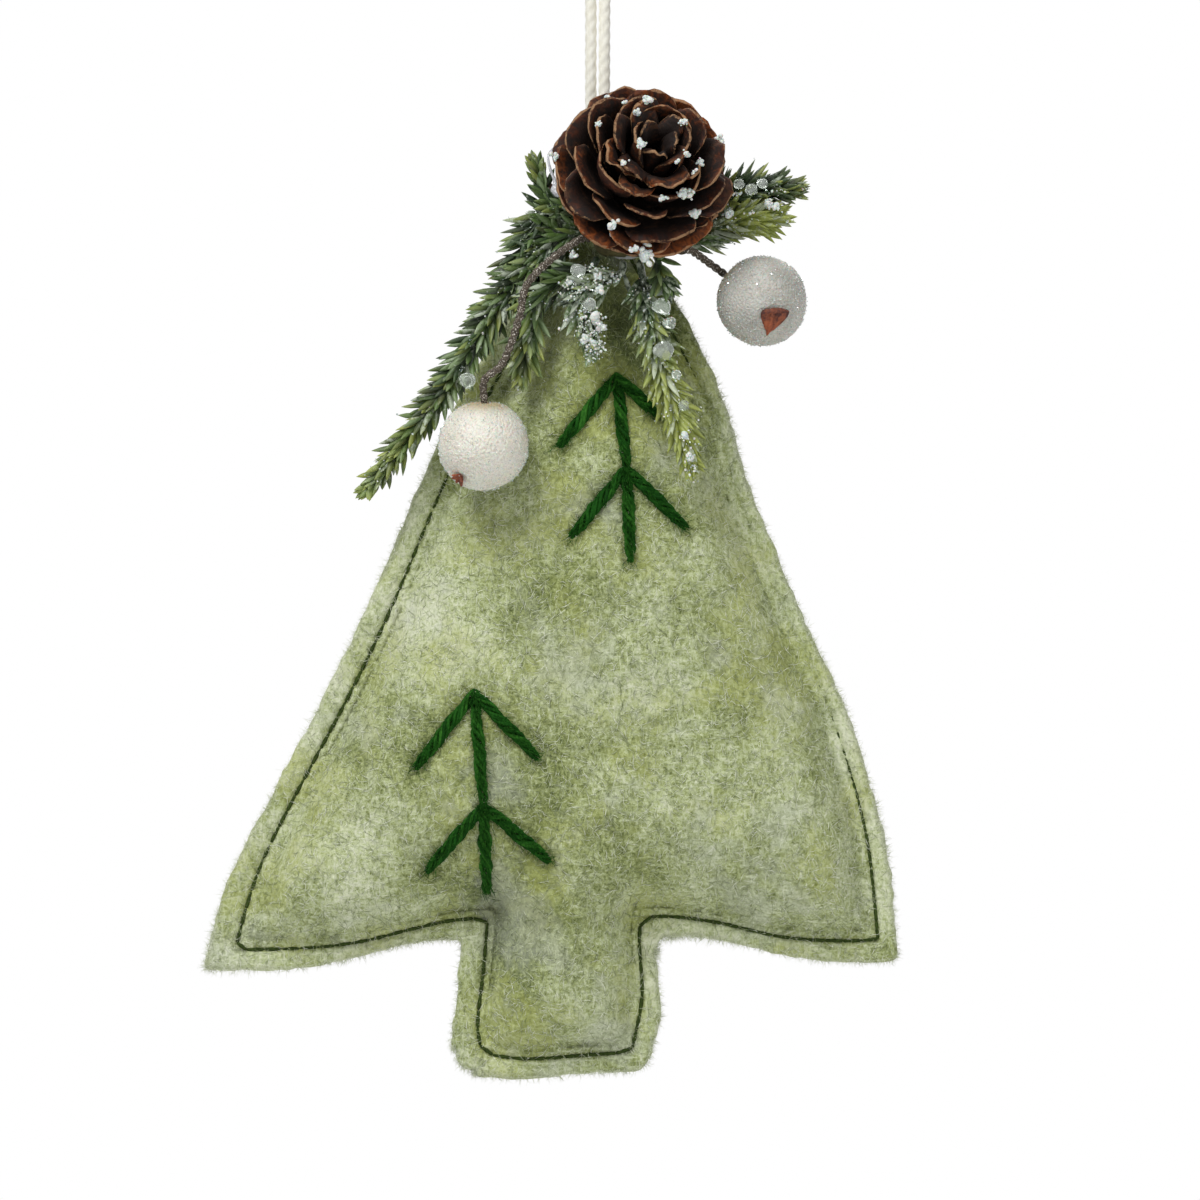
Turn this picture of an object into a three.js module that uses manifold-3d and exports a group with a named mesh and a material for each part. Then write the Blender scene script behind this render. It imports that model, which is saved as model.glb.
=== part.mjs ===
// Stuffed felt tree ornament: two stitched felt panels over fibre stuffing, two embroidered little
// trees, a glued trim of needle sprigs, frosted berries and a pine cone, and a twine loop.
// Millimetres, +Z up, the front faces -Y. The origin is the inner top of the loop, where a hook
// or a twig carries the ornament.
import * as THREE from "three";
import { mergeVertices } from "three/addons/utils/BufferGeometryUtils.js";
import Module from "manifold-3d";

const wasm = await Module();
wasm.setup();

// Clearance between pieces that lie against each other
const gap = 0.3;

// Twine loop: two strands that part towards the top, where a hook carries them
const twineDiameter = 1.6;
const twineSides = 8;
const twineSteps = 40;
const loopDrop = 69.9; // from the hook to the twine's ends
const loopWidth = 8.8; // outside, at its widest
const strandShares = [
  // left strand's and right strand's share of the full spread, and the share of the drop
  [0.011, 0.011, 1],
  [0.004, 0.008, 0.9165],
  [0, 0.008, 0.7893],
  [0, 0.026, 0.6478],
  [0.075, 0.113, 0.5205],
  [0.264, 0.302, 0.3932],
  [0.528, 0.547, 0.2801],
  [0.792, 0.811, 0.1881],
  [1, 1, 0.1132],
  [0.943, 0.943, 0.0552],
  [0.434, 0.434, 0.0134],
];

// Knot and tails of the twine, caught in the top of the seam
const stubLength = 1.5; // twine between the felt's top edge and the place where it flexes
const knotDepth = 13; // knot's middle below the felt's top edge
const knotRadius = 1.5; // from the knot's middle to the middle of its winding
const knotLean = 12; // degrees that each winding leans
const knotPitchShare = 0.33; // from the knot's middle to a winding, of the twine's width
const knotSides = 5;
const knotSteps = 10;
const tailLength = 6.5;
const tailSpreadShare = 0.32; // how far the tails part, of their length

// Felt panels
const feltThickness = 1.5;
const treeWidth = 99.2; // between the skirt's two tips
const foliageHeight = 115.6; // from where the two long edges would cross to the skirt's tips
const skirtRise = 4.2; // the skirt's line at the trunk lies this much above its tips
const trunkWidth = 27.7;
const trunkLength = 18.8;
const apexCut = 13.6; // how far each corner's curve reaches along its edges
const tipCut = 2.2;
const notchCut = 1.6;
const trunkCut = 3;
const rightTipShare = 0.433; // of the tree's width
const trunkShare = -0.053; // the trunk's middle, of the tree's width
const trunkLeanShare = -0.06; // the trunk's lean, of its length
const tipTiltShare = 0.006; // the left tip hangs lower than the right one by twice this
const seamAllowance = 4.4;
const seamCutShare = 0.45; // the seam turns its corners tighter than the cut edge
const channelWidth = 1.1; // flat strip that the stitches draw down inside the seam
const puffDepth = 9.6; // stuffing on each side of the seam's plane, at its fullest
const puffShare = 0.52; // exponent of the swelling: lower is fuller beside the seam
const puffCentreShares = [-0.061, 0.8]; // of the tree's width and of the foliage's height
const ringShares = [0.83, 0.6, 0.34]; // rings of the panel's mesh between the seam and its middle

// Seam threads: a needle thread on the front and a bobbin thread on the back
const threadDiameter = 0.7;
const stitchPitch = 2.5;
const threadSides = 3;

// Embroidery in six-strand floss
const flossWidth = 1.7;
const flossHeight = 0.9;
const flossStemLength = 13;
const flossArmLength = 12.7;
const flossTipShare = 0.35; // a stitch's width at its ends, of its full width
const flossFullness = 0.4; // exponent of its taper: lower is blunter
const flossSteps = 5;
const flossSides = 6;

// Glue pad and the tape binding round the gathered stems, both behind the cone
const padRadius = 4.6;
const padThickness = 5.8;
const padRise = 2; // pad's middle above the binding's
const padAcross = -0.4;
const padRows = 3;
const padColumns = 14;
const bindingLength = 10.5;
const bindingRadius = 2.4;
const bindingAcross = 4.4;
const bindingLift = 7.15; // its middle, in front of the felt's face
const bindingDrop = 6.8; // below the felt's top edge

// Pine cone
const coneRadius = 12;
const coneHeight = 12.2; // from its widest ring to its tip
const coneBack = 5.4; // from its widest ring to its cut base
const coneAcross = 1.75; // its widest ring's middle from the binding's middle
const coneForward = 3.4;
const coneRise = 9.05;
const coneTilt = 24.5; // degrees up
const coneTurn = 13; // degrees to the right
const scaleCount = 50;
const scaleWidth = 9.6;
const scaleThickness = 0.85;
const scaleLongest = 13;
const scaleLowest = 4.6; // how far behind its widest ring a scale may start
const stubRadius = 3.9; // woody base behind the scales
const coreSides = 12;
const coreShares = [
  // radius as a share of the cone's, and height as a share of its back part or its front part
  [0.36, -0.5],
  [0.36, 0],
  [0.3, 0.22],
  [0.17, 0.42],
  [0, 0.5],
];
const scaleStartAngle = 4; // degrees between the cone's axis and its first scale
const scaleSpanAngle = 108; // degrees from the first scale to the last one
const scaleCrowding = 1.05; // exponent of the spiral: lower leaves the tip more open
const scaleSteepShare = 0.68; // how far a scale leans out, of its tip's angle on the cone
const scaleClosingAngle = 6; // degrees that it then closes in again
const scaleRootShares = [0.5, 0.3]; // its root, of its tip's radius and at most of the cone's
const tipScaleShare = 0.36; // the narrowest scale's width, of the widest one's
const scaleRoundShare = 0.16; // how far its corners are drawn back, of its length
const scaleCupShare = 0.3; // how far its edges rise, of its half width
const scaleCurlShare = 0.09; // how far its tip bends back, of its length

// Needle sprigs
const sprigStemDiameter = 1.2;
const needleLength = 6;
const needleWidth = 1.5;
const needleThickness = 0.6;
const needleBellyShare = 0.42; // where a needle is widest, of its length
const needleAngle = 46; // degrees from the stem
const needleCloseShare = 0.35; // how much the needles close up towards the sprig's tip
const sprigSides = 5;
const sprigSteps = 8;
const sprigLength = 50; // the long sprig's length, which the table of places follows
const stemLead = 1.8; // a stem leaves the binding square to it for this length

// Berries and their wrapped wire stems
const berryDiameter = 12.8;
const calyxRadius = 1.9;
const calyxThickness = 0.7;
const calyxPoints = 5;
const calyxNotchShare = 0.55;
const wireDiameter = 1.25;
const wireSides = 6;
const wireSteps = 12;

// Cut end of the pick's own stem
const pickDiameter = 1.9;
const pickSides = 7;
const pickSteps = 5;
const pickWay = [-0.75, 0.6, 0.3];
const pickTipShares = [-0.263, 0.1, 0.196]; // from the binding's middle, of the sprigs' scale

const goldenAngle = Math.PI * (3 - Math.sqrt(5));
const twineRadius = twineDiameter / 2;
const berryRadius = berryDiameter / 2;
const wireRadius = wireDiameter / 2;
const feltFace = gap / 2 + feltThickness; // front of the seam's edge from the seam's plane
const colours = {
  felt: 0x9fa77b,
  stuffing: 0xf0efe8,
  thread: 0x4a5230,
  floss: 0x2e5020,
  twine: 0xe9e7d9,
  cone: 0x5e3519,
  needles: 0x45603a,
  berry: 0xe0dfd1,
  calyx: 0x7a3b26,
  wire: 0x5a4a3c,
  glue: 0xe6e4d8,
  tape: 0x4c4a2a,
};

function material(colour, roughness) {
  return new THREE.MeshStandardMaterial({ color: colour, roughness, metalness: 0 });
}

function piece(name, geometry, colour, roughness) {
  const mesh = new THREE.Mesh(geometry, material(colour, roughness));
  mesh.name = name;
  return mesh;
}

function vector([x, y, z]) {
  return new THREE.Vector3(x, y, z);
}

function radians(degrees) {
  return THREE.MathUtils.degToRad(degrees);
}

// Closed meshes and their joining and cutting

function meshOf(points, faces) {
  let volume = 0;
  for (const [a, b, c] of faces) {
    volume += points[a].dot(points[b].clone().cross(points[c]));
  }
  const outward = volume < 0 ? faces.map(([a, b, c]) => [a, c, b]) : faces;
  const geometry = new THREE.BufferGeometry();
  geometry.setAttribute(
    "position",
    new THREE.Float32BufferAttribute(points.flatMap((p) => [p.x, p.y, p.z]), 3),
  );
  geometry.setIndex(outward.flat());
  return geometry;
}

function solidOf(geometry) {
  const plain = geometry.clone();
  plain.deleteAttribute("normal");
  plain.deleteAttribute("uv");
  const merged = mergeVertices(plain);
  return new wasm.Manifold(
    new wasm.Mesh({
      numProp: 3,
      vertProperties: new Float32Array(merged.attributes.position.array),
      triVerts: new Uint32Array(merged.index.array),
    }),
  );
}

function geometryOf(solid) {
  const mesh = solid.getMesh();
  const geometry = new THREE.BufferGeometry();
  geometry.setAttribute("position", new THREE.BufferAttribute(mesh.vertProperties, 3));
  geometry.setIndex(new THREE.BufferAttribute(mesh.triVerts, 1));
  return geometry;
}

function joined(geometries) {
  const solids = geometries.map(solidOf);
  return geometryOf(solids.reduce((whole, next) => whole.add(next)));
}

function cut(geometry, cutters) {
  const solid = cutters.map(solidOf).reduce((left, cutter) => left.subtract(cutter), solidOf(geometry));
  return geometryOf(solid);
}

// A closed body through like sections, with flat ends, or round in a ring
function loft(sections, ring = false) {
  const count = sections[0].length;
  const points = sections.flat();
  const faces = [];
  const bands = ring ? sections.length : sections.length - 1;
  for (let i = 0; i < bands; i += 1) {
    const here = i * count;
    const next = ((i + 1) % sections.length) * count;
    for (let j = 0; j < count; j += 1) {
      const k = (j + 1) % count;
      faces.push([here + j, next + j, next + k], [here + j, next + k, here + k]);
    }
  }
  if (!ring) {
    const last = (sections.length - 1) * count;
    for (let j = 1; j < count - 1; j += 1) {
      faces.push([0, j, j + 1], [last, last + j + 1, last + j]);
    }
  }
  return meshOf(points, faces);
}

function regularSection(radius, sides) {
  const shape = new THREE.Shape();
  for (let i = 0; i < sides; i += 1) {
    const turn = (2 * Math.PI * i) / sides;
    const x = radius * Math.cos(turn);
    const y = radius * Math.sin(turn);
    if (i === 0) shape.moveTo(x, y);
    else shape.lineTo(x, y);
  }
  return shape;
}

function tube(points, radius, sides, steps) {
  const path = new THREE.CatmullRomCurve3(points, false, "centripetal");
  return new THREE.ExtrudeGeometry(regularSection(radius, sides), { steps, extrudePath: path });
}

// Outline of the felt panels, clockwise from the apex as the front shows it.
// Each edge leaves its corner for the next one; its bows are points at [share along, share out].

const trunkMiddle = treeWidth * trunkShare;
const trunkFoot = trunkMiddle + trunkLength * trunkLeanShare;
const trunkTop = foliageHeight - skirtRise;
const corners = [
  { at: [0, 0], cut: apexCut },
  { at: [treeWidth * rightTipShare, -foliageHeight * (1 - tipTiltShare)], cut: tipCut },
  { at: [trunkMiddle + trunkWidth / 2, -trunkTop], cut: notchCut },
  { at: [trunkFoot + trunkWidth / 2, -trunkTop - trunkLength], cut: trunkCut },
  { at: [trunkFoot - trunkWidth / 2, -trunkTop - trunkLength], cut: trunkCut },
  { at: [trunkMiddle - trunkWidth / 2, -trunkTop], cut: notchCut },
  { at: [treeWidth * (rightTipShare - 1), -foliageHeight * (1 + tipTiltShare)], cut: tipCut },
].map((corner) => ({ at: new THREE.Vector2(...corner.at), cut: corner.cut }));
const edges = [
  {
    allowanceShare: 0.4,
    steps: 14,
    bowShares: [[0.17, 0.019], [0.31, 0.035], [0.43, 0.027], [0.6, 0.034], [0.71, 0.042], [0.86, 0.032]],
  },
  {
    allowanceShare: 0.62,
    steps: 6,
    bowShares: [[0.2, 0.019], [0.42, 0.024], [0.67, -0.007], [0.87, -0.0135]],
  },
  { allowanceShare: 0.6, steps: 3, bowShares: [[0.2, 0], [0.58, 0.045]] },
  { allowanceShare: 0.58, steps: 4, bowShares: [[0.3, 0.015], [0.65, 0.04], [0.88, 0.022]] },
  { allowanceShare: 0.77, steps: 3, bowShares: [[0.22, 0.028], [0.6, 0.008]] },
  {
    allowanceShare: 0.55,
    steps: 6,
    bowShares: [[0.16, -0.005], [0.32, 0.01], [0.5, 0.03], [0.7, 0.028]],
  },
  {
    allowanceShare: 0.67,
    steps: 14,
    bowShares: [[0.12, 0.0155], [0.33, 0.0085], [0.45, 0.0085], [0.64, 0.0165], [0.85, 0.008]],
  },
];
const cornerSteps = [5, 2, 2, 2, 2, 2, 2];

function outwardOf(from, to) {
  const along = to.clone().sub(from).normalize();
  return new THREE.Vector2(-along.y, along.x);
}

const outwards = edges.map((edge, i) => outwardOf(corners[i].at, corners[(i + 1) % corners.length].at));

// A corner drawn in by the insets of the two edges that meet there
function mitre(i, insets) {
  const before = (i + corners.length - 1) % corners.length;
  const a = outwards[before];
  const b = outwards[i];
  const span = a.x * b.y - a.y * b.x;
  return new THREE.Vector2(
    corners[i].at.x - (insets[before] * b.y - insets[i] * a.y) / span,
    corners[i].at.y - (insets[i] * a.x - insets[before] * b.x) / span,
  );
}

// The panel's loop at an inset of each edge, always with the same number of points
function panelLoop(insets, cutShare) {
  const places = corners.map((corner, i) => mitre(i, insets));
  const runs = edges.map((edge, i) => {
    const from = places[i];
    const to = places[(i + 1) % places.length];
    const along = to.clone().sub(from);
    const length = along.length();
    along.normalize();
    const at = (share, out) =>
      from.clone().addScaledVector(along, share).addScaledVector(outwards[i], out * length);
    return new THREE.SplineCurve([
      at(corners[i].cut * cutShare, 0),
      ...edge.bowShares.map(([share, out]) => at(share * length, out)),
      at(length - corners[(i + 1) % corners.length].cut * cutShare, 0),
    ]).getPoints(edge.steps);
  });
  return places.flatMap((place, i) => {
    const before = runs[(i + runs.length - 1) % runs.length];
    const turn = new THREE.QuadraticBezierCurve(before[before.length - 1], place, runs[i][0]);
    return [...turn.getPoints(cornerSteps[i]).slice(1, -1), ...runs[i]];
  });
}

const seamInsets = edges.map((edge) => seamAllowance * edge.allowanceShare);
const cutLoop = panelLoop(edges.map(() => 0), 1);
const apexDrop = Math.max(...cutLoop.map((p) => p.y));
const hang = (loop) => loop.map((p) => new THREE.Vector2(p.x, p.y - apexDrop));
const edgeLoop = hang(cutLoop);
const seamLoop = hang(panelLoop(seamInsets, seamCutShare));
const domeLoop = hang(panelLoop(seamInsets.map((inset) => inset + channelWidth), seamCutShare));
const puffCentre = new THREE.Vector2(
  treeWidth * puffCentreShares[0],
  -foliageHeight * puffCentreShares[1] - apexDrop,
);

// A soft measure of the distance to the seam, which grows smoothly inside the dome's loop
// and is zero outside it
function seamDistance(x, z) {
  let pull = 0;
  let turns = 0;
  domeLoop.forEach((from, i) => {
    const to = domeLoop[(i + 1) % domeLoop.length];
    const ax = from.x - x;
    const az = from.y - z;
    const bx = to.x - x;
    const bz = to.y - z;
    const cross = ax * bz - az * bx;
    const dot = ax * bx + az * bz;
    const turn = Math.atan2(cross, dot);
    const inLine = Math.abs(turn) < Number.EPSILON;
    turns += turn;
    pull += from.distanceTo(to) * (inLine ? 1 / dot : turn / cross);
  });
  return Math.abs(turns) > Math.PI ? Math.PI / pull : 0;
}

const fullDistance = seamDistance(puffCentre.x, puffCentre.y);

// Swelling of the stuffing at a place of the panel, from the seam's plane
function puff(x, z) {
  return puffDepth * (seamDistance(x, z) / fullDistance) ** puffShare;
}

// Distance of the front panel's face from the seam's plane
function faceAt(x, z) {
  return feltFace + puff(x, z);
}

const domeRings = ringShares.map((share) => domeLoop.map((p) => puffCentre.clone().lerp(p, share)));

// A body between two skins over the same rings of places: each skin is a depth for each ring.
// With a shared rim the two skins meet in one edge.
function skinned(rings, outer, inner, sharedRim) {
  const count = rings[0].length;
  const points = [];
  const faces = [];
  const skin = (depths, rim) => {
    const starts = rings.map((ring, r) => {
      if (r === 0 && rim !== undefined) return rim;
      const start = points.length;
      ring.forEach((p, i) => points.push(new THREE.Vector3(p.x, depths[r][i], p.y)));
      return start;
    });
    const middle = points.length;
    points.push(new THREE.Vector3(puffCentre.x, depths[rings.length], puffCentre.y));
    return { starts, middle };
  };
  const outerSkin = skin(outer);
  const innerSkin = skin(inner, sharedRim ? outerSkin.starts[0] : undefined);
  for (const [{ starts, middle }, flip] of [[outerSkin, false], [innerSkin, true]]) {
    const add = (a, b, c) => faces.push(flip ? [a, c, b] : [a, b, c]);
    for (let i = 0; i < count; i += 1) {
      const k = (i + 1) % count;
      for (let r = 0; r < starts.length - 1; r += 1) {
        add(starts[r] + i, starts[r + 1] + i, starts[r + 1] + k);
        add(starts[r] + i, starts[r + 1] + k, starts[r] + k);
      }
      add(starts[starts.length - 1] + i, middle, starts[starts.length - 1] + k);
    }
  }
  if (!sharedRim) {
    const out = outerSkin.starts[0];
    const back = innerSkin.starts[0];
    for (let i = 0; i < count; i += 1) {
      const k = (i + 1) % count;
      faces.push([out + i, out + k, back + k], [out + i, back + k, back + i]);
    }
  }
  return meshOf(points, faces);
}

const swell = domeRings.map((ring) => ring.map((p) => puff(p.x, p.y)));
const flat = (depth) => domeLoop.map(() => depth);

function feltDepths(base) {
  const rings = swell.map((ring) => ring.map((d) => d + base));
  return [flat(base), flat(base), flat(base), ...rings, puffDepth + base];
}

function feltPanel(front) {
  const facing = (depths) =>
    depths.map((d) => (Array.isArray(d) ? d.map((y) => front * y) : front * d));
  return skinned(
    [edgeLoop, seamLoop, domeLoop, ...domeRings],
    facing(feltDepths(feltFace)),
    facing(feltDepths(gap / 2)),
    false,
  );
}

function stuffingBody() {
  const depths = [flat(0), ...swell.map((ring) => ring.map((d) => d - gap / 2)), puffDepth - gap / 2];
  const mirrored = depths.map((d) => (Array.isArray(d) ? d.map((y) => -y) : -d));
  return skinned([domeLoop, ...domeRings], mirrored, depths, true);
}

// Twine: the free loop, and the knot and tails inside the felt

const closeHalf = twineRadius + gap / 2; // from the middle to a strand where the two lie together
const spreadHalf = loopWidth / 2 - twineRadius - closeHalf;
const strand = (side, which) =>
  strandShares.map(
    (shares) =>
      new THREE.Vector3(
        side * (closeHalf + shares[which] * spreadHalf),
        0,
        twineRadius - shares[2] * (loopDrop + twineRadius),
      ),
  );
const routePoints = [...strand(-1, 0), new THREE.Vector3(0, 0, twineRadius), ...strand(1, 1).reverse()];
const strandPlaces = [routePoints[0], routePoints[routePoints.length - 1]];
const flexHeight = strandPlaces[0].z - twineRadius - gap; // the twine flexes here
const treeTop = flexHeight - stubLength;
const loopBody = tube(routePoints, twineRadius, twineSides, twineSteps);

function knotAndTails() {
  const bodies = [];
  for (const { x } of strandPlaces) {
    const top = new THREE.Vector3(x, 0, stubLength);
    const stub = tube([top, new THREE.Vector3(x, 0, -knotDepth)], twineRadius, twineSides, 1);
    const end = new THREE.SphereGeometry(twineRadius, twineSides, twineSides / 2);
    end.translate(x, 0, stubLength);
    const tail = tube(
      [
        new THREE.Vector3(x, 0, -knotDepth),
        new THREE.Vector3(x + Math.sign(x) * tailLength * tailSpreadShare, 0, -knotDepth - tailLength),
      ],
      twineRadius,
      twineSides,
      1,
    );
    bodies.push(stub, end, tail);
  }
  for (const turn of [-1, 1]) {
    const winding = new THREE.TorusGeometry(knotRadius, twineRadius, knotSides, knotSteps);
    winding.rotateX(radians(knotLean) * turn);
    winding.translate(0, 0, turn * twineDiameter * knotPitchShare - knotDepth);
    bodies.push(winding);
  }
  return joined(bodies);
}

// Room for the twine in the felt and the stuffing
function twineRoom() {
  const strandRoom = strandPlaces.map(({ x }) =>
    tube(
      [new THREE.Vector3(x, 0, stubLength), new THREE.Vector3(x, 0, -knotDepth)],
      twineRadius + gap,
      twineSides,
      1,
    ),
  );
  const knotReach = knotRadius + twineDiameter + gap;
  const knotRoom = new THREE.SphereGeometry(knotReach, knotSteps, knotSteps / 2);
  knotRoom.translate(0, 0, -knotDepth);
  const spread = tailLength * tailSpreadShare;
  const tailRoom = strandPlaces.map(({ x }) =>
    tube(
      [
        new THREE.Vector3(x, 0, -knotDepth),
        new THREE.Vector3(x + Math.sign(x) * (spread + gap), 0, -knotDepth - tailLength - gap),
      ],
      twineRadius + gap,
      twineSides,
      1,
    ),
  );
  return [...strandRoom, knotRoom, ...tailRoom];
}

// The stuffing stops at the knot: the space above it, inside the tree's point, is empty
function emptyPoint() {
  const space = new THREE.BoxGeometry(treeWidth, 3 * puffDepth, knotDepth);
  space.translate(0, 0, -knotDepth / 2);
  return space;
}

// Seam thread: a closed run of stitches along the seam, on one side of the felt

function evenly(loop, pitch) {
  const curve = new THREE.CurvePath();
  loop.forEach((p, i) => curve.add(new THREE.LineCurve(p, loop[(i + 1) % loop.length])));
  const count = Math.round(curve.getLength() / pitch);
  return Array.from({ length: count }, (_, i) => curve.getPointAt(i / count));
}

function seamThread(front) {
  const places = evenly(seamLoop, stitchPitch);
  const radius = threadDiameter / 2;
  const depth = front * (feltFace + gap + radius);
  const sections = places.map((place, i) => {
    const before = places[(i + places.length - 1) % places.length];
    const after = places[(i + 1) % places.length];
    const out = outwardOf(before, after);
    return Array.from({ length: threadSides }, (_, j) => {
      const turn = (2 * Math.PI * j) / threadSides;
      const reach = radius * Math.cos(turn);
      return new THREE.Vector3(
        place.x + out.x * reach,
        depth + radius * Math.sin(turn),
        place.y + out.y * reach,
      );
    });
  });
  return loft(sections, true);
}

// Embroidered little tree: a stem of two stitches, with two pairs of arms.
// Leans are degrees from straight down, positive to the right.

const littleTrees = [
  {
    name: "embroidery_upper",
    placeShares: [0.0275, 0.225], // of the tree's width and of the foliage's height
    stems: [{ lean: 6, share: 1 }, { lean: 2.5, share: 1 }],
    arms: [
      { stem: 0, lean: -40, share: 1 },
      { stem: 0, lean: 47, share: 0.62 },
      { stem: 1, lean: -39, share: 0.97 },
      { stem: 1, lean: 45, share: 0.92 },
    ],
  },
  {
    name: "embroidery_lower",
    placeShares: [-0.174, 0.609],
    stems: [{ lean: 4.5, share: 1.23 }, { lean: 2, share: 0.95 }],
    arms: [
      { stem: 0, lean: -38, share: 1.06 },
      { stem: 0, lean: 44, share: 1 },
      { stem: 1, lean: -41, share: 0.96 },
      { stem: 1, lean: 50, share: 0.94 },
    ],
  },
];

function stepAlong(from, lean, length) {
  return new THREE.Vector2(
    from.x + length * Math.sin(radians(lean)),
    from.y - length * Math.cos(radians(lean)),
  );
}

// One long stitch: a slim spindle that follows the felt's swell
function flossStitch(from, to) {
  const out = outwardOf(from, to);
  const sections = Array.from({ length: flossSteps + 1 }, (_, i) => {
    const share = i / flossSteps;
    const full = Math.max(flossTipShare, Math.sin(Math.PI * share) ** flossFullness);
    const place = from.clone().lerp(to, share);
    const depth = faceAt(place.x, place.y) + gap + flossHeight / 2;
    return Array.from({ length: flossSides }, (_, j) => {
      const turn = (2 * Math.PI * (j + 0.5)) / flossSides;
      const reach = (flossWidth / 2) * full * Math.cos(turn);
      return new THREE.Vector3(
        place.x + out.x * reach,
        -depth + (flossHeight / 2) * full * Math.sin(turn),
        place.y + out.y * reach,
      );
    });
  });
  return loft(sections);
}

function embroidery({ placeShares, stems, arms }) {
  const knots = [new THREE.Vector2(treeWidth * placeShares[0], -foliageHeight * placeShares[1])];
  for (const stem of stems) {
    knots.push(stepAlong(knots[knots.length - 1], stem.lean, flossStemLength * stem.share));
  }
  return joined([
    ...stems.map((stem, i) => flossStitch(knots[i], knots[i + 1])),
    ...arms.map((arm) =>
      flossStitch(knots[arm.stem], stepAlong(knots[arm.stem], arm.lean, flossArmLength * arm.share)),
    ),
  ]);
}

// Middle of the tape binding, which the cone, the glue and the sprigs are placed from
const bindingPlace = new THREE.Vector3(
  bindingAcross,
  -faceAt(bindingAcross, -bindingDrop) - bindingLift,
  -bindingDrop,
);

// Pine cone: thin cupped scales in a golden-angle spiral round a woody core, +Z to its tip

const acrossShares = [-1, -0.36, 0.36, 1];
const scaleStations = [
  { at: 0, wide: 0.3 },
  { at: 0.5, wide: 0.84 },
  { at: 0.84, wide: 1 },
  { at: 1, wide: 0.93 },
];

function coneScale(index) {
  const share = (index + 0.5) / scaleCount;
  const polar = radians(scaleStartAngle + scaleSpanAngle * share ** scaleCrowding);
  const tipHeight = (Math.cos(polar) > 0 ? coneHeight : coneBack) * Math.cos(polar);
  const tip = new THREE.Vector2(coneRadius * Math.sin(polar), tipHeight);
  const rootOut = Math.min(tip.x * scaleRootShares[0], coneRadius * scaleRootShares[1]);
  const lean = Math.max(
    polar * scaleSteepShare - radians(scaleClosingAngle),
    Math.atan2(tip.x - rootOut, tip.y + scaleLowest),
  );
  const length = Math.min(scaleLongest, (tip.x - rootOut) / Math.sin(lean));
  const along = new THREE.Vector2(Math.sin(lean), Math.cos(lean));
  const root = tip.clone().addScaledVector(along, -length);
  const facing = new THREE.Vector2(-along.y, along.x); // towards the cone's tip
  const halfWidth = (scaleWidth / 2) * (tipScaleShare + (1 - tipScaleShare) * Math.sin(polar));
  const turn = index * goldenAngle;
  const place = (station, across, face) => {
    const edge = across * across;
    const reach = length * station.at * (1 - scaleRoundShare * edge * station.at);
    const cup = halfWidth * scaleCupShare * edge * station.wide;
    const curl = length * scaleCurlShare * station.at ** 6;
    const rise = cup - curl + (face * scaleThickness) / 2;
    const radius = root.x + along.x * reach + facing.x * rise;
    const height = root.y + along.y * reach + facing.y * rise;
    const sideways = across * halfWidth * station.wide;
    return new THREE.Vector3(
      radius * Math.cos(turn) - sideways * Math.sin(turn),
      radius * Math.sin(turn) + sideways * Math.cos(turn),
      height,
    );
  };
  const points = [];
  const rows = scaleStations.map((station) =>
    acrossShares.map((across) => {
      const thin = station.at === 1 || Math.abs(across) === 1; // the scale tapers to its edges
      points.push(place(station, across, thin ? 0 : 1));
      const upper = points.length - 1;
      if (!thin) points.push(place(station, across, -1));
      return { upper, lower: points.length - 1 };
    }),
  );
  const faces = [];
  for (let r = 0; r < rows.length - 1; r += 1) {
    for (let c = 0; c < acrossShares.length - 1; c += 1) {
      const near = [rows[r][c], rows[r][c + 1]];
      const far = [rows[r + 1][c], rows[r + 1][c + 1]];
      faces.push(
        [near[0].upper, near[1].upper, far[1].upper],
        [near[0].upper, far[1].upper, far[0].upper],
        [near[0].lower, far[1].lower, near[1].lower],
        [near[0].lower, far[0].lower, far[1].lower],
      );
    }
  }
  const [a, b, c, d] = rows[0];
  faces.push([a.upper, b.lower, b.upper], [b.upper, b.lower, c.lower]);
  faces.push([b.upper, c.lower, c.upper], [c.upper, c.lower, d.upper]);
  return meshOf(points, faces);
}

function coneBody() {
  const profile = [
    [0, -coneBack],
    [stubRadius, -coneBack],
    ...coreShares.map(([out, up]) => [coneRadius * out, (up < 0 ? coneBack : coneHeight) * up]),
  ].map(([x, y]) => new THREE.Vector2(x, y));
  const core = new THREE.LatheGeometry(profile, coreSides);
  core.rotateX(Math.PI / 2);
  return joined([core, ...Array.from({ length: scaleCount }, (_, i) => coneScale(i))]);
}

const coneAxis = new THREE.Vector3(
  Math.sin(radians(coneTurn)) * Math.cos(radians(coneTilt)),
  -Math.cos(radians(coneTurn)) * Math.cos(radians(coneTilt)),
  Math.sin(radians(coneTilt)),
);
const stubReach = coneRadius * coreShares[0][0] + gap; // room for the cone's core in the glue
const conePlace = bindingPlace.clone().add(new THREE.Vector3(coneAcross, -coneForward, coneRise));

function placedOnCone(geometry) {
  const turned = geometry.clone();
  turned.applyQuaternion(new THREE.Quaternion().setFromUnitVectors(new THREE.Vector3(0, 0, 1), coneAxis));
  turned.translate(conePlace.x, conePlace.y, conePlace.z);
  return turned;
}

// Tape binding: a round-ended bundle across the tree's top

function bindingBody(radius) {
  const body = new THREE.CapsuleGeometry(radius, bindingLength - 2 * bindingRadius, 3, 10);
  body.rotateZ(Math.PI / 2);
  body.translate(bindingPlace.x, bindingPlace.y, bindingPlace.z);
  return body;
}

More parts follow.
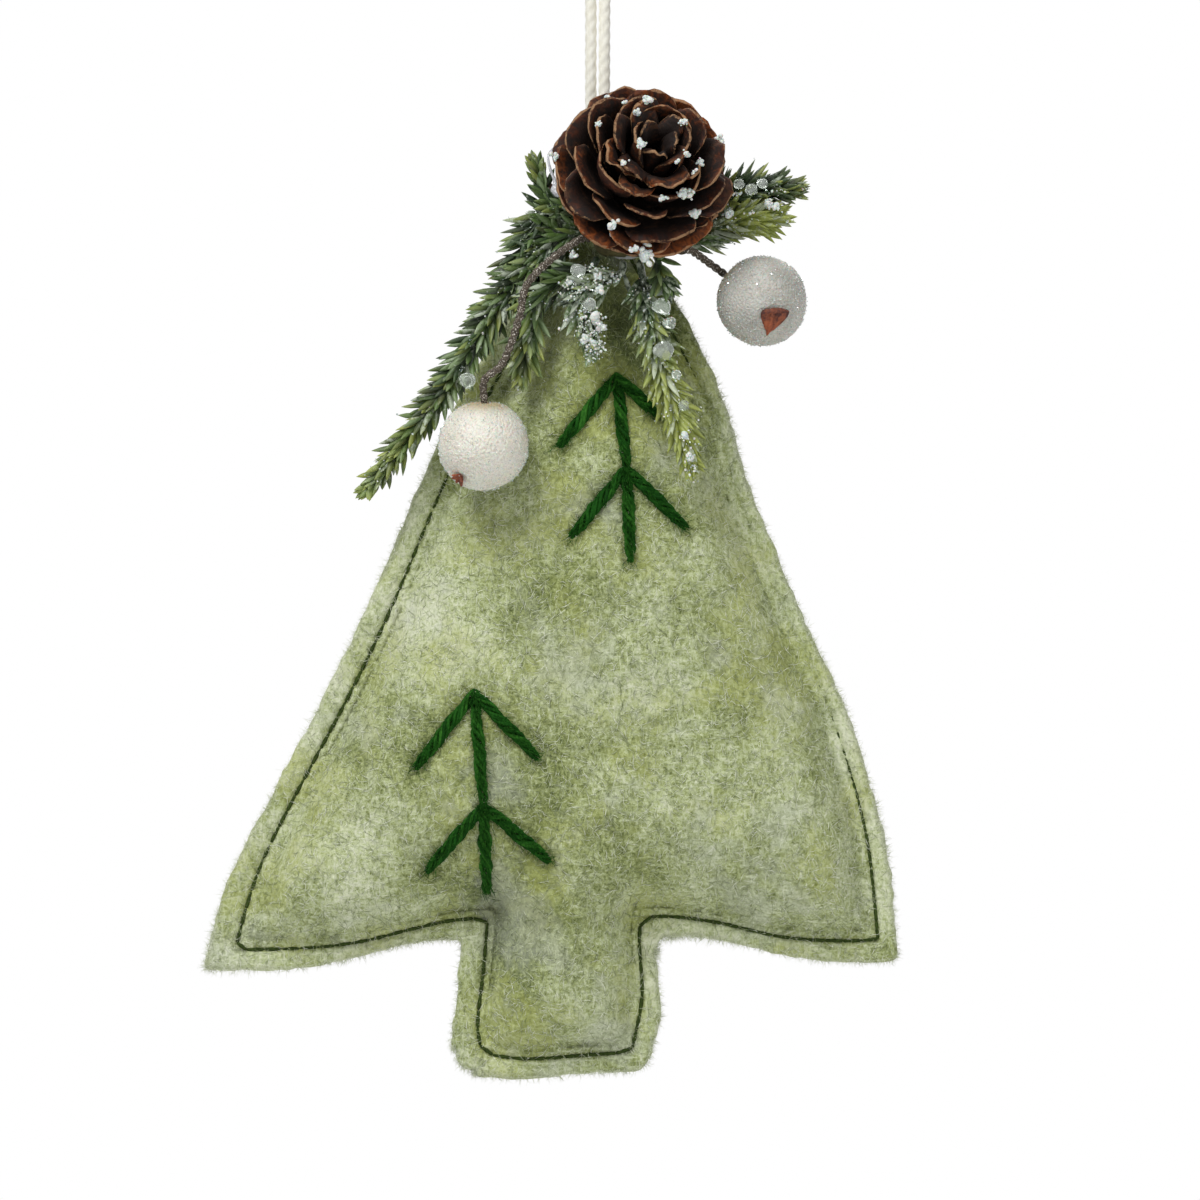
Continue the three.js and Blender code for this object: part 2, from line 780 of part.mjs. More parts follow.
// Where a stem leaves the binding: a share along its straight part, and a way out of it.
// Only at the round ends does a stem sit off to the side.
function stemRoot(alongShare, way, clear) {
  const out = vector(way).normalize();
  const seat = out.clone();
  if (Math.abs(alongShare) < 1) seat.x = 0;
  const straight = bindingLength / 2 - bindingRadius;
  const root = bindingPlace.clone().addScaledVector(seat.normalize(), bindingRadius + clear);
  root.x += straight * alongShare;
  return { root, out };
}

// A place given as an offset from the binding's middle, in shares of the sprigs' scale
function placedFromBinding(shares) {
  return bindingPlace.clone().addScaledVector(vector(shares), sprigLength);
}

// Cut brown end of the pick's own stem, to the left of the cone
function pickStem(clear) {
  const { root, out } = stemRoot(-1, pickWay, gap + pickDiameter / 2);
  root.addScaledVector(out, -clear);
  const tip = placedFromBinding(pickTipShares);
  const start = root.clone().addScaledVector(out, stemLead);
  return tube([root, start, tip], pickDiameter / 2 + clear, pickSides, pickSteps);
}

// Glue pad: a lens of glue on the felt, moulded round the binding and the cone's base

function gluePad() {
  const padX = bindingPlace.x + padAcross;
  const padZ = bindingPlace.z + padRise;
  const clear = gap + threadDiameter + gap;
  const points = [];
  const faces = [];
  const ringAt = (share, height) => {
    const start = points.length;
    for (let i = 0; i < padColumns; i += 1) {
      const turn = (2 * Math.PI * i) / padColumns;
      const x = padX + padRadius * share * Math.cos(turn);
      const z = padZ + padRadius * share * Math.sin(turn);
      points.push(new THREE.Vector3(x, -faceAt(x, z) - clear - height, z));
    }
    return start;
  };
  const rim = ringAt(1, 0);
  for (const thickness of [0, padThickness]) {
    let outer = rim;
    for (let r = 1; r < padRows; r += 1) {
      const share = 1 - r / padRows;
      const inner = ringAt(share, thickness * Math.sqrt(1 - share * share));
      for (let i = 0; i < padColumns; i += 1) {
        const k = (i + 1) % padColumns;
        const quad = [outer + i, outer + k, inner + k, inner + i];
        if (thickness > 0) quad.reverse();
        faces.push([quad[0], quad[1], quad[2]], [quad[0], quad[2], quad[3]]);
      }
      outer = inner;
    }
    const middle = points.length;
    points.push(new THREE.Vector3(padX, -faceAt(padX, padZ) - clear - thickness, padZ));
    for (let i = 0; i < padColumns; i += 1) {
      const k = (i + 1) % padColumns;
      faces.push(thickness > 0 ? [outer + k, outer + i, middle] : [outer + i, outer + k, middle]);
    }
  }
  const stubRoom = new THREE.CylinderGeometry(stubReach, stubReach, coneBack + gap, coreSides);
  stubRoom.rotateX(Math.PI / 2);
  stubRoom.translate(0, 0, -(coneBack + gap) / 2);
  return cut(meshOf(points, faces), [
    bindingBody(bindingRadius + gap),
    pickStem(gap),
    placedOnCone(stubRoom),
  ]);
}

// Needle sprigs: each a moulded stem with flat needles. Places are offsets from the binding's
// middle, as shares of the long sprig's length.

const sprigs = [
  {
    name: "sprig_long_left",
    along: -1,
    way: [-0.93, 0.25, 0.25],
    routeShares: [[-0.348, 0.04, -0.154], [-0.508, 0.05, -0.404], [-0.753, 0.05, -0.719]],
    needles: 34,
    bareShare: 0.1,
    twig: {
      forkShare: 0.08, // of the main stem's length
      routeShares: [[-0.265, 0.05, 0.058], [-0.341, 0.055, -0.022], [-0.392, 0.055, -0.134]],
      needles: 14,
      bareShare: 0.3,
    },
  },
  {
    name: "sprig_inner_left",
    along: -1,
    way: [-0.5, -0.35, -0.8],
    routeShares: [[-0.248, -0.01, -0.154], [-0.283, -0.02, -0.264], [-0.303, -0.02, -0.369]],
    needles: 15,
    bareShare: 0.15,
  },
  {
    name: "sprig_snowy_centre",
    along: -0.3,
    way: [-0.1, -0.35, -0.93],
    routeShares: [[-0.138, -0.06, -0.154], [-0.123, -0.065, -0.234], [-0.108, -0.08, -0.304]],
    needles: 15,
    bareShare: 0.12,
  },
  {
    name: "sprig_right_front",
    along: 0.5,
    way: [0.2, -0.3, -0.93],
    routeShares: [[0.052, -0.04, -0.204], [0.107, -0.05, -0.414], [0.172, -0.06, -0.629]],
    needles: 26,
    bareShare: 0.08,
  },
  {
    name: "sprig_under_cone",
    along: 1,
    way: [0.25, -0.75, -0.6],
    routeShares: [[0.09, -0.09, -0.094], [0.1, -0.1, -0.124]],
    needles: 6,
    bareShare: 0.2,
  },
  {
    name: "sprig_right_upper",
    along: 1,
    way: [0.5, 0.45, 0.74],
    routeShares: [[0.172, 0.075, 0.086], [0.322, 0.05, 0.141], [0.452, 0.03, 0.146]],
    needles: 18,
    bareShare: 0.3,
  },
  {
    name: "sprig_right_lower",
    along: 1,
    way: [0.97, 0.2, 0.05],
    routeShares: [[0.202, 0.05, 0.021], [0.312, 0.035, 0.051], [0.422, 0.02, 0.051]],
    needles: 13,
    bareShare: 0.25,
  },
  {
    name: "sprig_top_left",
    along: -1,
    way: [-0.6, 0.1, 0.8],
    routeShares: [[-0.218, 0.02, 0.106], [-0.263, 0.02, 0.211]],
    needles: 10,
    bareShare: 0.2,
  },
];
const needleFan = [-84, 78, -34, 40]; // degrees round the stem, from its front

function stemRoute(along, way, offsets, radius) {
  const { root, out } = stemRoot(along, way, gap + radius * 0.5);
  return [
    root,
    root.clone().addScaledVector(out, stemLead),
    ...offsets.map(placedFromBinding),
  ];
}

function needle(root, direction, broad, margin) {
  const half = direction.clone().multiplyScalar(needleLength * needleBellyShare);
  const face = direction.clone().cross(broad).normalize();
  const wide = needleWidth / 2 + margin;
  const thick = needleThickness / 2 + margin;
  const belly = root.clone().add(half);
  const points = [
    root,
    belly.clone().addScaledVector(broad, wide),
    belly.clone().addScaledVector(face, thick),
    belly.clone().addScaledVector(broad, -wide),
    belly.clone().addScaledVector(face, -thick),
    root.clone().addScaledVector(direction, needleLength + margin),
  ];
  const faces = [];
  for (let i = 1; i <= 4; i += 1) {
    const k = (i % 4) + 1;
    faces.push([0, i, k], [5, k, i]);
  }
  return meshOf(points, faces);
}

function boxesMeet(a, b) {
  return [0, 1, 2].every((axis) => a.min[axis] < b.max[axis] && b.min[axis] < a.max[axis]);
}

function clearOf(geometry, others) {
  const solid = solidOf(geometry);
  const box = solid.boundingBox();
  return others.every((other) => !boxesMeet(box, other.boundingBox()) || solid.intersect(other).isEmpty());
}

// A stem grows needles wherever they stay clear of the pieces laid down before it
function needledStem(route, { needles, bareShare }, others) {
  const path = new THREE.CatmullRomCurve3(route, false, "centripetal");
  const bodies = [tube(route, sprigStemDiameter / 2, sprigSides, sprigSteps)];
  const forward = new THREE.Vector3(0, -1, 0);
  for (let i = 0; i < needles; i += 1) {
    const share = bareShare + ((1 - bareShare) * i) / needles;
    const tangent = path.getTangentAt(share);
    const front = forward.clone().addScaledVector(tangent, -forward.dot(tangent)).normalize();
    const side = tangent.clone().cross(front);
    const round = radians(needleFan[i % needleFan.length]);
    const outward = front.multiplyScalar(Math.cos(round)).addScaledVector(side, Math.sin(round));
    const lean = radians(needleAngle) * (1 - needleCloseShare * share);
    const direction = tangent.clone().multiplyScalar(Math.cos(lean));
    direction.addScaledVector(outward, Math.sin(lean));
    const broad = tangent.clone().cross(outward).normalize();
    const root = path.getPointAt(share);
    if (clearOf(needle(root, direction, broad, gap), others)) {
      bodies.push(needle(root, direction, broad, 0));
    }
  }
  return bodies;
}

function sprigBody({ along, way, twig, ...stem }, others) {
  const route = stemRoute(along, way, stem.routeShares, sprigStemDiameter / 2);
  const bodies = needledStem(route, stem, others);
  if (twig) {
    const fork = new THREE.CatmullRomCurve3(route, false, "centripetal").getPointAt(twig.forkShare);
    bodies.push(...needledStem([fork, ...twig.routeShares.map(placedFromBinding)], twig, others));
  }
  return joined(bodies);
}

// Berries on wrapped wire stems. Each can be bent about its wire's root.

const berries = [
  {
    name: "left_berry",
    along: -1,
    way: [-0.72, -0.69, 0.02],
    centreShares: [-0.408, -0.09, -0.579],
    entry: [0.02, -0.1, 0.99],
    calyx: [-0.54, -0.42, -0.73],
    routeShares: [[-0.283, -0.1, -0.124], [-0.308, -0.1, -0.224], [-0.358, -0.1, -0.354]],
  },
  {
    name: "right_berry",
    along: 1,
    way: [0.88, -0.35, -0.3],
    centreShares: [0.374, -0.03, -0.172],
    entry: [-0.78, 0.26, 0.57],
    calyx: [0.23, -0.9, -0.37],
    routeShares: [[0.167, -0.045, -0.029]],
  },
];

function berryPick({ name, along, way, centreShares, entry, calyx, routeShares }) {
  const centre = placedFromBinding(centreShares);
  const entryWay = vector(entry).normalize();
  const calyxWay = vector(calyx).normalize();
  const { root, out } = stemRoot(along, way, gap + wireRadius);
  const end = centre.clone().addScaledVector(entryWay, berryRadius + gap);
  const lead = centre.clone().addScaledVector(entryWay, berryRadius + gap + wireDiameter * 2);
  const middle = routeShares.map(placedFromBinding);
  const rootBall = new THREE.SphereGeometry(wireRadius, 8, 6);
  rootBall.translate(root.x, root.y, root.z);
  const wireRoute = [root, root.clone().addScaledVector(out, stemLead), ...middle, lead, end];
  const wire = joined([tube(wireRoute, wireRadius, wireSides, wireSteps), rootBall]);

  const berry = new THREE.SphereGeometry(berryRadius, 18, 12);
  berry.applyQuaternion(new THREE.Quaternion().setFromUnitVectors(new THREE.Vector3(0, 1, 0), entryWay));
  berry.translate(centre.x, centre.y, centre.z);

  const star = new THREE.Shape();
  for (let i = 0; i < 2 * calyxPoints; i += 1) {
    const turn = (Math.PI * i) / calyxPoints;
    const reach = calyxRadius * (i % 2 ? calyxNotchShare : 1);
    if (i === 0) star.moveTo(reach, 0);
    else star.lineTo(reach * Math.cos(turn), reach * Math.sin(turn));
  }
  const button = new THREE.ExtrudeGeometry(star, { depth: calyxThickness, bevelEnabled: false });
  button.applyQuaternion(new THREE.Quaternion().setFromUnitVectors(new THREE.Vector3(0, 0, 1), calyxWay));
  const seat = centre.clone().addScaledVector(calyxWay, berryRadius + gap);
  button.translate(seat.x, seat.y, seat.z);
  return [
    piece(`${name}_stem`, wire, colours.wire, 0.8),
    piece(name, berry, colours.berry, 0.6),
    piece(`${name}_calyx`, button, colours.calyx, 0.8),
  ];
}

// Assembly: everything but the loop hangs from the place where the twine flexes

const tree = new THREE.Group();
tree.position.set(0, 0, treeTop);
const room = twineRoom();
const feltFront = cut(feltPanel(-1), room);
tree.add(piece("felt_front", feltFront, colours.felt, 0.95));
tree.add(piece("felt_back", cut(feltPanel(1), room), colours.felt, 0.95));
tree.add(piece("stuffing", cut(stuffingBody(), [...room, emptyPoint()]), colours.stuffing, 1));
tree.add(piece("loop_knot", knotAndTails(), colours.twine, 0.9));
tree.add(piece("seam_thread_front", seamThread(-1), colours.thread, 0.8));
tree.add(piece("seam_thread_back", seamThread(1), colours.thread, 0.8));
for (const littleTree of littleTrees) {
  tree.add(piece(littleTree.name, embroidery(littleTree), colours.floss, 0.7));
}

const cone = coneBody();
const coneMesh = piece("pine_cone", cone, colours.cone, 0.7);
coneMesh.position.copy(conePlace);
coneMesh.quaternion.setFromUnitVectors(new THREE.Vector3(0, 0, 1), coneAxis);
const glue = gluePad();
const binding = bindingBody(bindingRadius);
const pick = pickStem(0);
tree.add(coneMesh);
tree.add(piece("glue_pad", glue, colours.glue, 0.4));
tree.add(piece("stem_binding", binding, colours.tape, 0.8));
tree.add(piece("pick_stem", pick, colours.wire, 0.85));

const berryMeshes = berries.flatMap(berryPick);
tree.add(...berryMeshes);

const berryBodies = berryMeshes.map((mesh) => mesh.geometry);
const laid = [placedOnCone(cone), feltFront, glue, pick, ...berryBodies].map(solidOf);
for (const sprig of sprigs) {
  const body = sprigBody(sprig, laid);
  laid.push(solidOf(body));
  tree.add(piece(sprig.name, body, colours.needles, 0.6));
}

const ornament = new THREE.Group();
ornament.add(piece("hanging_loop", loopBody, colours.twine, 0.9));
ornament.add(tree);

export default ornament;
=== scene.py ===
import math

import bpy
import numpy as np
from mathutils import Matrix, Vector, noise


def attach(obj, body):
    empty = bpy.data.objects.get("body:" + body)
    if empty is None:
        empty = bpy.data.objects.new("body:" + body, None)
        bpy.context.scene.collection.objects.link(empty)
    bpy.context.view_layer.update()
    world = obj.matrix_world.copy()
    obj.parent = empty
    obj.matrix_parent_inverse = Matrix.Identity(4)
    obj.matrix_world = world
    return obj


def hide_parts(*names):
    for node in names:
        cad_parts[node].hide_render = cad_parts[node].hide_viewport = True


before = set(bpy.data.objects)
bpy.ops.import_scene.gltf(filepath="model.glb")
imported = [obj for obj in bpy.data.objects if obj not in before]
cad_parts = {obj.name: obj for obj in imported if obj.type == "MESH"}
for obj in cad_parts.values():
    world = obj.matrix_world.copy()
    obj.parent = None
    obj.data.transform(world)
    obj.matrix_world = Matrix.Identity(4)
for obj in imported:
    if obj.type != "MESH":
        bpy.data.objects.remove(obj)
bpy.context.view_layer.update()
print("frame loaded with", len(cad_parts), "nodes")

mm = 0.001
treeTop = -72.5  # height of the felt's top edge, in millimetres
dice = np.random.default_rng(20)


# the picture

pictureSettings = {
    "across": 0.1698,  # metres that the picture shows at the felt
    "middle": (0.00035, 0.0, -0.1299),
    "lens": 300.0,
    "sensor": 36.0,
}


def makeCamera(settings):
    data = bpy.data.cameras.new("camera")
    data.lens = settings["lens"]
    data.sensor_width = settings["sensor"]
    data.clip_end = 10
    camera = bpy.data.objects.new("camera", data)
    bpy.context.scene.collection.objects.link(camera)
    away = settings["across"] * settings["lens"] / settings["sensor"]
    camera.location = Vector(settings["middle"]) + Vector((0, -away, 0))
    camera.rotation_euler = (math.pi / 2, 0, 0)
    bpy.context.scene.camera = camera


makeCamera(pictureSettings)
print("camera placed")


# shader writing

def srgb(red, green, blue):
    def linear(value):
        value /= 255
        return value / 12.92 if value <= 0.04045 else ((value + 0.055) / 1.055) ** 2.4
    return (linear(red), linear(green), linear(blue), 1)


class Link:
    def __init__(self, finish, socket):
        self.finish = finish
        self.socket = socket

    def maths(self, operation, first, second):
        return self.finish.add("Math", {"operation": operation}, {0: first, 1: second})

    def __add__(self, other):
        return self.maths("ADD", self, other)

    def __radd__(self, other):
        return self.maths("ADD", other, self)

    def __sub__(self, other):
        return self.maths("SUBTRACT", self, other)

    def __rsub__(self, other):
        return self.maths("SUBTRACT", other, self)

    def __mul__(self, other):
        return self.maths("MULTIPLY", self, other)

    def __rmul__(self, other):
        return self.maths("MULTIPLY", other, self)

    def above(self, edge, softness):
        # 0 under the edge and 1 over it, with a soft step
        sockets = {"Value": self, "From Min": edge - softness, "From Max": edge + softness}
        return self.finish.add("MapRange", {"interpolation_type": "SMOOTHSTEP"}, sockets)


class Finish:
    def __init__(self, name, **constants):
        self.material = bpy.data.materials.new(name)
        self.material.use_nodes = True
        self.tree = self.material.node_tree
        self.shader = self.tree.nodes["Principled BSDF"]
        self.place = self.add("TexCoord", out="Object")
        self.feed(**constants)

    def add(self, kind, settings=None, sockets=None, out=0):
        node = self.tree.nodes.new("ShaderNode" + kind)
        for key, value in (settings or {}).items():
            if key == "stops":
                stops = node.color_ramp.elements
                while len(stops) < len(value):
                    stops.new(1)
                for stop, (position, colour) in zip(stops, value):
                    stop.position = position
                    stop.color = colour
            else:
                setattr(node, key, value)
        for key, value in (sockets or {}).items():
            self.plug(node.inputs[key], value)
        return Link(self, node.outputs[out])

    def plug(self, socket, value):
        if isinstance(value, Link):
            self.tree.links.new(value.socket, socket)
        else:
            socket.default_value = value

    def feed(self, **values):
        for key, value in values.items():
            self.plug(self.shader.inputs[key.replace("_", " ")], value)

    def attribute(self, name):
        return self.add("Attribute", {"attribute_name": name}, out="Fac")

    def grain(self, size, detail=3.0, rough=0.55, stretch=None, turn=None, warp=0.0):
        # noise whose lumps are about size millimetres across
        place = self.place
        if stretch or turn:
            sockets = {"Vector": place, "Scale": stretch or (1, 1, 1), "Rotation": turn or (0, 0, 0)}
            place = self.add("Mapping", {}, sockets)
        sockets = {"Scale": 1 / (size * mm), "Detail": detail, "Roughness": rough, "Distortion": warp}
        return self.add("TexNoise", {}, {"Vector": place, **sockets})

    def cells(self, size):
        return self.add("TexVoronoi", {}, {"Vector": self.place, "Scale": 1 / (size * mm)}, "Distance")

    def ramp(self, value, *stops):
        return self.add("ValToRGB", {"stops": stops}, {"Fac": value})

    def mix(self, share, first, second, kind="MIX"):
        settings = {"data_type": "RGBA", "blend_type": kind}
        return self.add("Mix", settings, {0: share, 6: first, 7: second}, 2)

    def bump(self, height, depth, strength=1.0):
        sockets = {"Height": height, "Distance": depth * mm, "Strength": strength}
        self.feed(Normal=self.add("Bump", {}, sockets))

    def paint(self, tone, *stops, relief=None):
        # colours by a tone, and the same tone's relief as its depth and strength
        self.feed(Base_Color=self.ramp(tone, *stops))
        if relief:
            self.bump(tone, *relief)
        return self


# mesh making: places are in millimetres until a heap becomes a piece

class Heap:
    # closed bodies that become one piece
    def __init__(self):
        self.points, self.quads, self.tris, self.marks = [], [], [], {}
        self.count = 0

    def put(self, points, tris, quads=(), **marks):
        points = np.asarray(points, float)
        tris = np.asarray(tris, int)
        quads = np.asarray(quads, int).reshape(-1, 4)
        halves = np.vstack([quads[:, [0, 1, 2]], quads[:, [0, 2, 3]], tris])
        a, b, c = (points[halves[:, k]] - points[0] for k in range(3))
        if np.einsum("ij,ij->", a, np.cross(b, c)) < 0:  # the body is inside out
            quads, tris = quads[:, ::-1], tris[:, ::-1]
        self.points.append(points)
        self.quads.append(quads + self.count)
        self.tris.append(tris + self.count)
        for key, value in marks.items():
            self.marks.setdefault(key, []).append(np.broadcast_to(np.asarray(value, float), len(points)))
        self.count += len(points)

    def piece(self, name, offset=treeTop, smooth=True):
        points = (np.vstack(self.points) + (0, 0, offset)) * mm
        mesh = bpy.data.meshes.new(name)
        mesh.from_pydata(points.tolist(), [], np.vstack(self.quads).tolist() + np.vstack(self.tris).tolist())
        for key, values in self.marks.items():
            layer = mesh.attributes.new(key, "FLOAT", "POINT")
            layer.data.foreach_set("value", np.concatenate(values).astype(np.float32))
        mesh.polygons.foreach_set("use_smooth", np.full(len(mesh.polygons), smooth))
        piece = bpy.data.objects.new(name, mesh)
        bpy.context.scene.collection.objects.link(piece)
        return piece


def onePiece(name, points, tris, quads=(), offset=treeTop, **marks):
    heap = Heap()
    heap.put(points, tris, quads, **marks)
    return heap.piece(name, offset)


def ringBody(rows, firstPole, lastPole):
    # closed body through like rings, from one pole to the other
    steps, sides = rows.shape[:2]
    points = np.vstack([rows.reshape(-1, 3), firstPole, lastPole])
    here = np.arange(sides)
    after = (here + 1) % sides
    bands = np.arange(steps - 1)[:, None] * sides
    quads = np.stack([bands + here, bands + after, bands + after + sides, bands + here + sides], -1)
    last = (steps - 1) * sides
    tris = np.vstack([
        np.stack([np.full(sides, steps * sides), after, here], -1),
        np.stack([np.full(sides, steps * sides + 1), here + last, after + last], -1),
    ])
    return points, tris, quads.reshape(-1, 4)


def lengthsAlong(route):
    return np.concatenate([[0], np.cumsum(np.linalg.norm(np.diff(route, axis=0), axis=1))])


def unit(vectors):
    vectors = np.asarray(vectors, float)
    return vectors / np.maximum(np.linalg.norm(vectors, axis=-1, keepdims=True), 1e-9)


def between(t, start, end, first, second):
    return ((end - t) * first + (t - start) * second) / (end - start)


def evenRoute(route, pitch):
    along = lengthsAlong(route)
    even = np.linspace(0, along[-1], max(2, round(along[-1] / pitch)) + 1)
    return np.stack([np.interp(even, along, route[:, k]) for k in range(route.shape[1])], -1)


def smoothRoute(points, pitch):
    # centripetal curve through the points, evenly spaced
    points = [np.array(p, float) for p in points]
    points = [2 * points[0] - points[1], *points, 2 * points[-1] - points[-2]]
    dense = []
    for i in range(1, len(points) - 2):
        span = points[i - 1:i + 3]
        knots = [0.0]
        for before, after in zip(span, span[1:]):
            knots.append(knots[-1] + np.linalg.norm(after - before) ** 0.5)
        for t in np.linspace(knots[1], knots[2], 24, endpoint=False):
            first = [between(t, knots[k], knots[k + 1], span[k], span[k + 1]) for k in range(3)]
            second = [between(t, knots[k], knots[k + 2], first[k], first[k + 1]) for k in range(2)]
            dense.append(between(t, knots[1], knots[2], *second))
    dense.append(points[-2])
    return evenRoute(np.array(dense), pitch)


def framesAlong(route):
    # tangent and two cross directions that don't twist, the first of them towards the viewer
    tangents = unit(np.gradient(route, axis=0))
    normals = np.zeros_like(route)
    normal = np.array((0, -1.0, 0))
    if abs(normal @ tangents[0]) > 0.9:  # the route itself starts that way
        normal = np.array((1.0, 0, 0))
    for i, tangent in enumerate(tangents):
        normal = unit(normal - tangent * (normal @ tangent))
        normals[i] = normal
    return tangents, normals, np.cross(tangents, normals)


def around(sides, first, second):
    # directions round each place, between its two cross directions
    turns = 2 * math.pi * np.arange(sides)[:, None] / sides
    return np.cos(turns) * first[:, None] + np.sin(turns) * second[:, None]


def sweep(route, radii, flat=1.0):
    # closed round-ended body along a route: radii is a table of step and side
    tangents, normals, across = framesAlong(route)
    rows = route[:, None] + radii[..., None] * around(radii.shape[1], normals * flat, across)
    ends = radii.mean(1) * 0.4
    return ringBody(rows, route[0] - tangents[0] * ends[0], route[-1] + tangents[-1] * ends[-1])


def roundEnds(route, radius):
    # share of the full radius at each step, so that both ends close in a dome
    along = lengthsAlong(route)
    near = np.clip(np.minimum(along, along[-1] - along) / radius, 0.02, 1)
    return np.sqrt(1 - (1 - near) ** 2)


def plied(route, radius, plies, pitch, sides, depth=0.2, hand=1):
    # twisted plies, as a lobed section that turns along the route
    turns = 2 * math.pi * np.arange(sides) / sides
    phase = hand * 2 * math.pi * lengthsAlong(route)[:, None] / pitch
    lobes = np.abs(np.cos(plies / 2 * (turns[None] - phase)))
    return radius * (1 - depth + depth * lobes) * roundEnds(route, radius)[:, None]


lumpGain = 1.6  # brings a lump's values to about -1 to 1


def lump(points, size, seed=0.0):
    # smooth random value for each place
    places = np.asarray(points, float) / size + (seed, 3.7 * seed, 0.5)
    return np.array([noise.noise(Vector(p)) for p in places])


# modelling by hand

def nothingSelected():
    bpy.ops.object.select_all(action="DESELECT")


def spindle(sides, sections):
    # a round start, extruded and resized section by section: (height, width, thickness)
    nothingSelected()
    height, width, thick = sections[0]
    bpy.ops.mesh.primitive_circle_add(vertices=sides, radius=1, fill_type="NGON", location=(0, 0, height))
    piece = bpy.context.object
    bpy.ops.object.mode_set(mode="EDIT")
    bpy.ops.mesh.select_all(action="SELECT")
    bpy.ops.transform.resize(value=(width, thick, 1), center_override=(0, 0, height))
    for nextHeight, nextWidth, nextThick in sections[1:]:
        bpy.ops.mesh.extrude_region_move(TRANSFORM_OT_translate={"value": (0, 0, nextHeight - height)})
        grow = (nextWidth / width, nextThick / thick, 1)
        bpy.ops.transform.resize(value=grow, center_override=(0, 0, nextHeight))
        height, width, thick = nextHeight, nextWidth, nextThick
    bpy.ops.mesh.select_all(action="SELECT")
    bpy.ops.mesh.normals_make_consistent(inside=False)
    bpy.ops.object.mode_set(mode="OBJECT")
    return piece


def shapeOf(piece):
    # the finished mesh as arrays of points and triangles; the piece itself goes
    bpy.context.view_layer.objects.active = piece
    for modifier in list(piece.modifiers):
        bpy.ops.object.modifier_apply(modifier=modifier.name)
    bpy.ops.object.transform_apply(location=True, rotation=True, scale=True)
    mesh = piece.data
    mesh.calc_loop_triangles()
    points = np.zeros(len(mesh.vertices) * 3)
    mesh.vertices.foreach_get("co", points)
    tris = np.zeros(len(mesh.loop_triangles) * 3, int)
    mesh.loop_triangles.foreach_get("vertices", tris)
    bpy.data.objects.remove(piece)
    return points.reshape(-1, 3), tris.reshape(-1, 3)


def dress(piece, finish, body, slot, *nodes):
    piece.data.materials.clear()
    piece.data.materials.append(finish.material)
    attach(piece, body)
    if nodes:
        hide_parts(*nodes)
    return piece


print("tools ready")


# hanging loop: cream cotton twine

twineSettings = {
    "diameter": 1.6,
    "fullness": 1.04,  # the plies' crests stand a little proud of the diameter
    "plies": 3,
    "pitch": 5.2,
    "sides": 24,
    "colour": srgb(250, 248, 236),
    "shade": srgb(232, 228, 210),
    "route": [
        (-0.979, 0, -69.9), (-0.961, 0, -63.997), (-0.95, 0, -55.004), (-0.95, 0, -44.999),
        (-1.149, 0, -35.999), (-1.65, 0, -26.999), (-2.349, 0, -19.003), (-3.049, 0, -12.499),
        (-3.6, 0, -7.203), (-3.449, 0, -3.103), (-2.1, 0, -0.147), (0, 0, 0.8),
        (2.1, 0, -0.147), (3.449, 0, -3.103), (3.6, 0, -7.203), (3.099, 0, -12.499),
        (2.4, 0, -19.003), (1.75, 0, -26.999), (1.249, 0, -35.999), (1.019, 0, -44.999),
        (0.971, 0, -55.004), (0.971, 0, -63.997), (0.979, 0, -69.9),
    ],
}


def twineFinish(settings):
    finish = Finish("cottonTwine", Roughness=0.9, Sheen_Weight=0.25)
    fibres = finish.grain(0.35, 4, 0.7, stretch=(1, 1, 0.3))
    tone = fibres * 0.75 + finish.grain(3.5, 2) * 0.25
    finish.paint(tone, (0.3, settings["shade"]), (0.58, settings["colour"]))
    finish.bump(fibres, 0.12, 0.5)
    return finish


cottonTwine = twineFinish(twineSettings)


def twineBody(points, settings, hand=1):
    s = settings
    route = smoothRoute(points, 0.3)
    radii = plied(route, s["diameter"] / 2 * s["fullness"], s["plies"], s["pitch"], s["sides"], 0.14, hand)
    return route, sweep(route, radii)


def makeLoop(settings):
    route, body = twineBody(settings["route"], settings)
    loop = dress(onePiece("twine_loop", *body, offset=0), cottonTwine, "hanger", "twine", "hanging_loop")
    settings["diameter"] * mm


makeLoop(twineSettings)


# felt panels

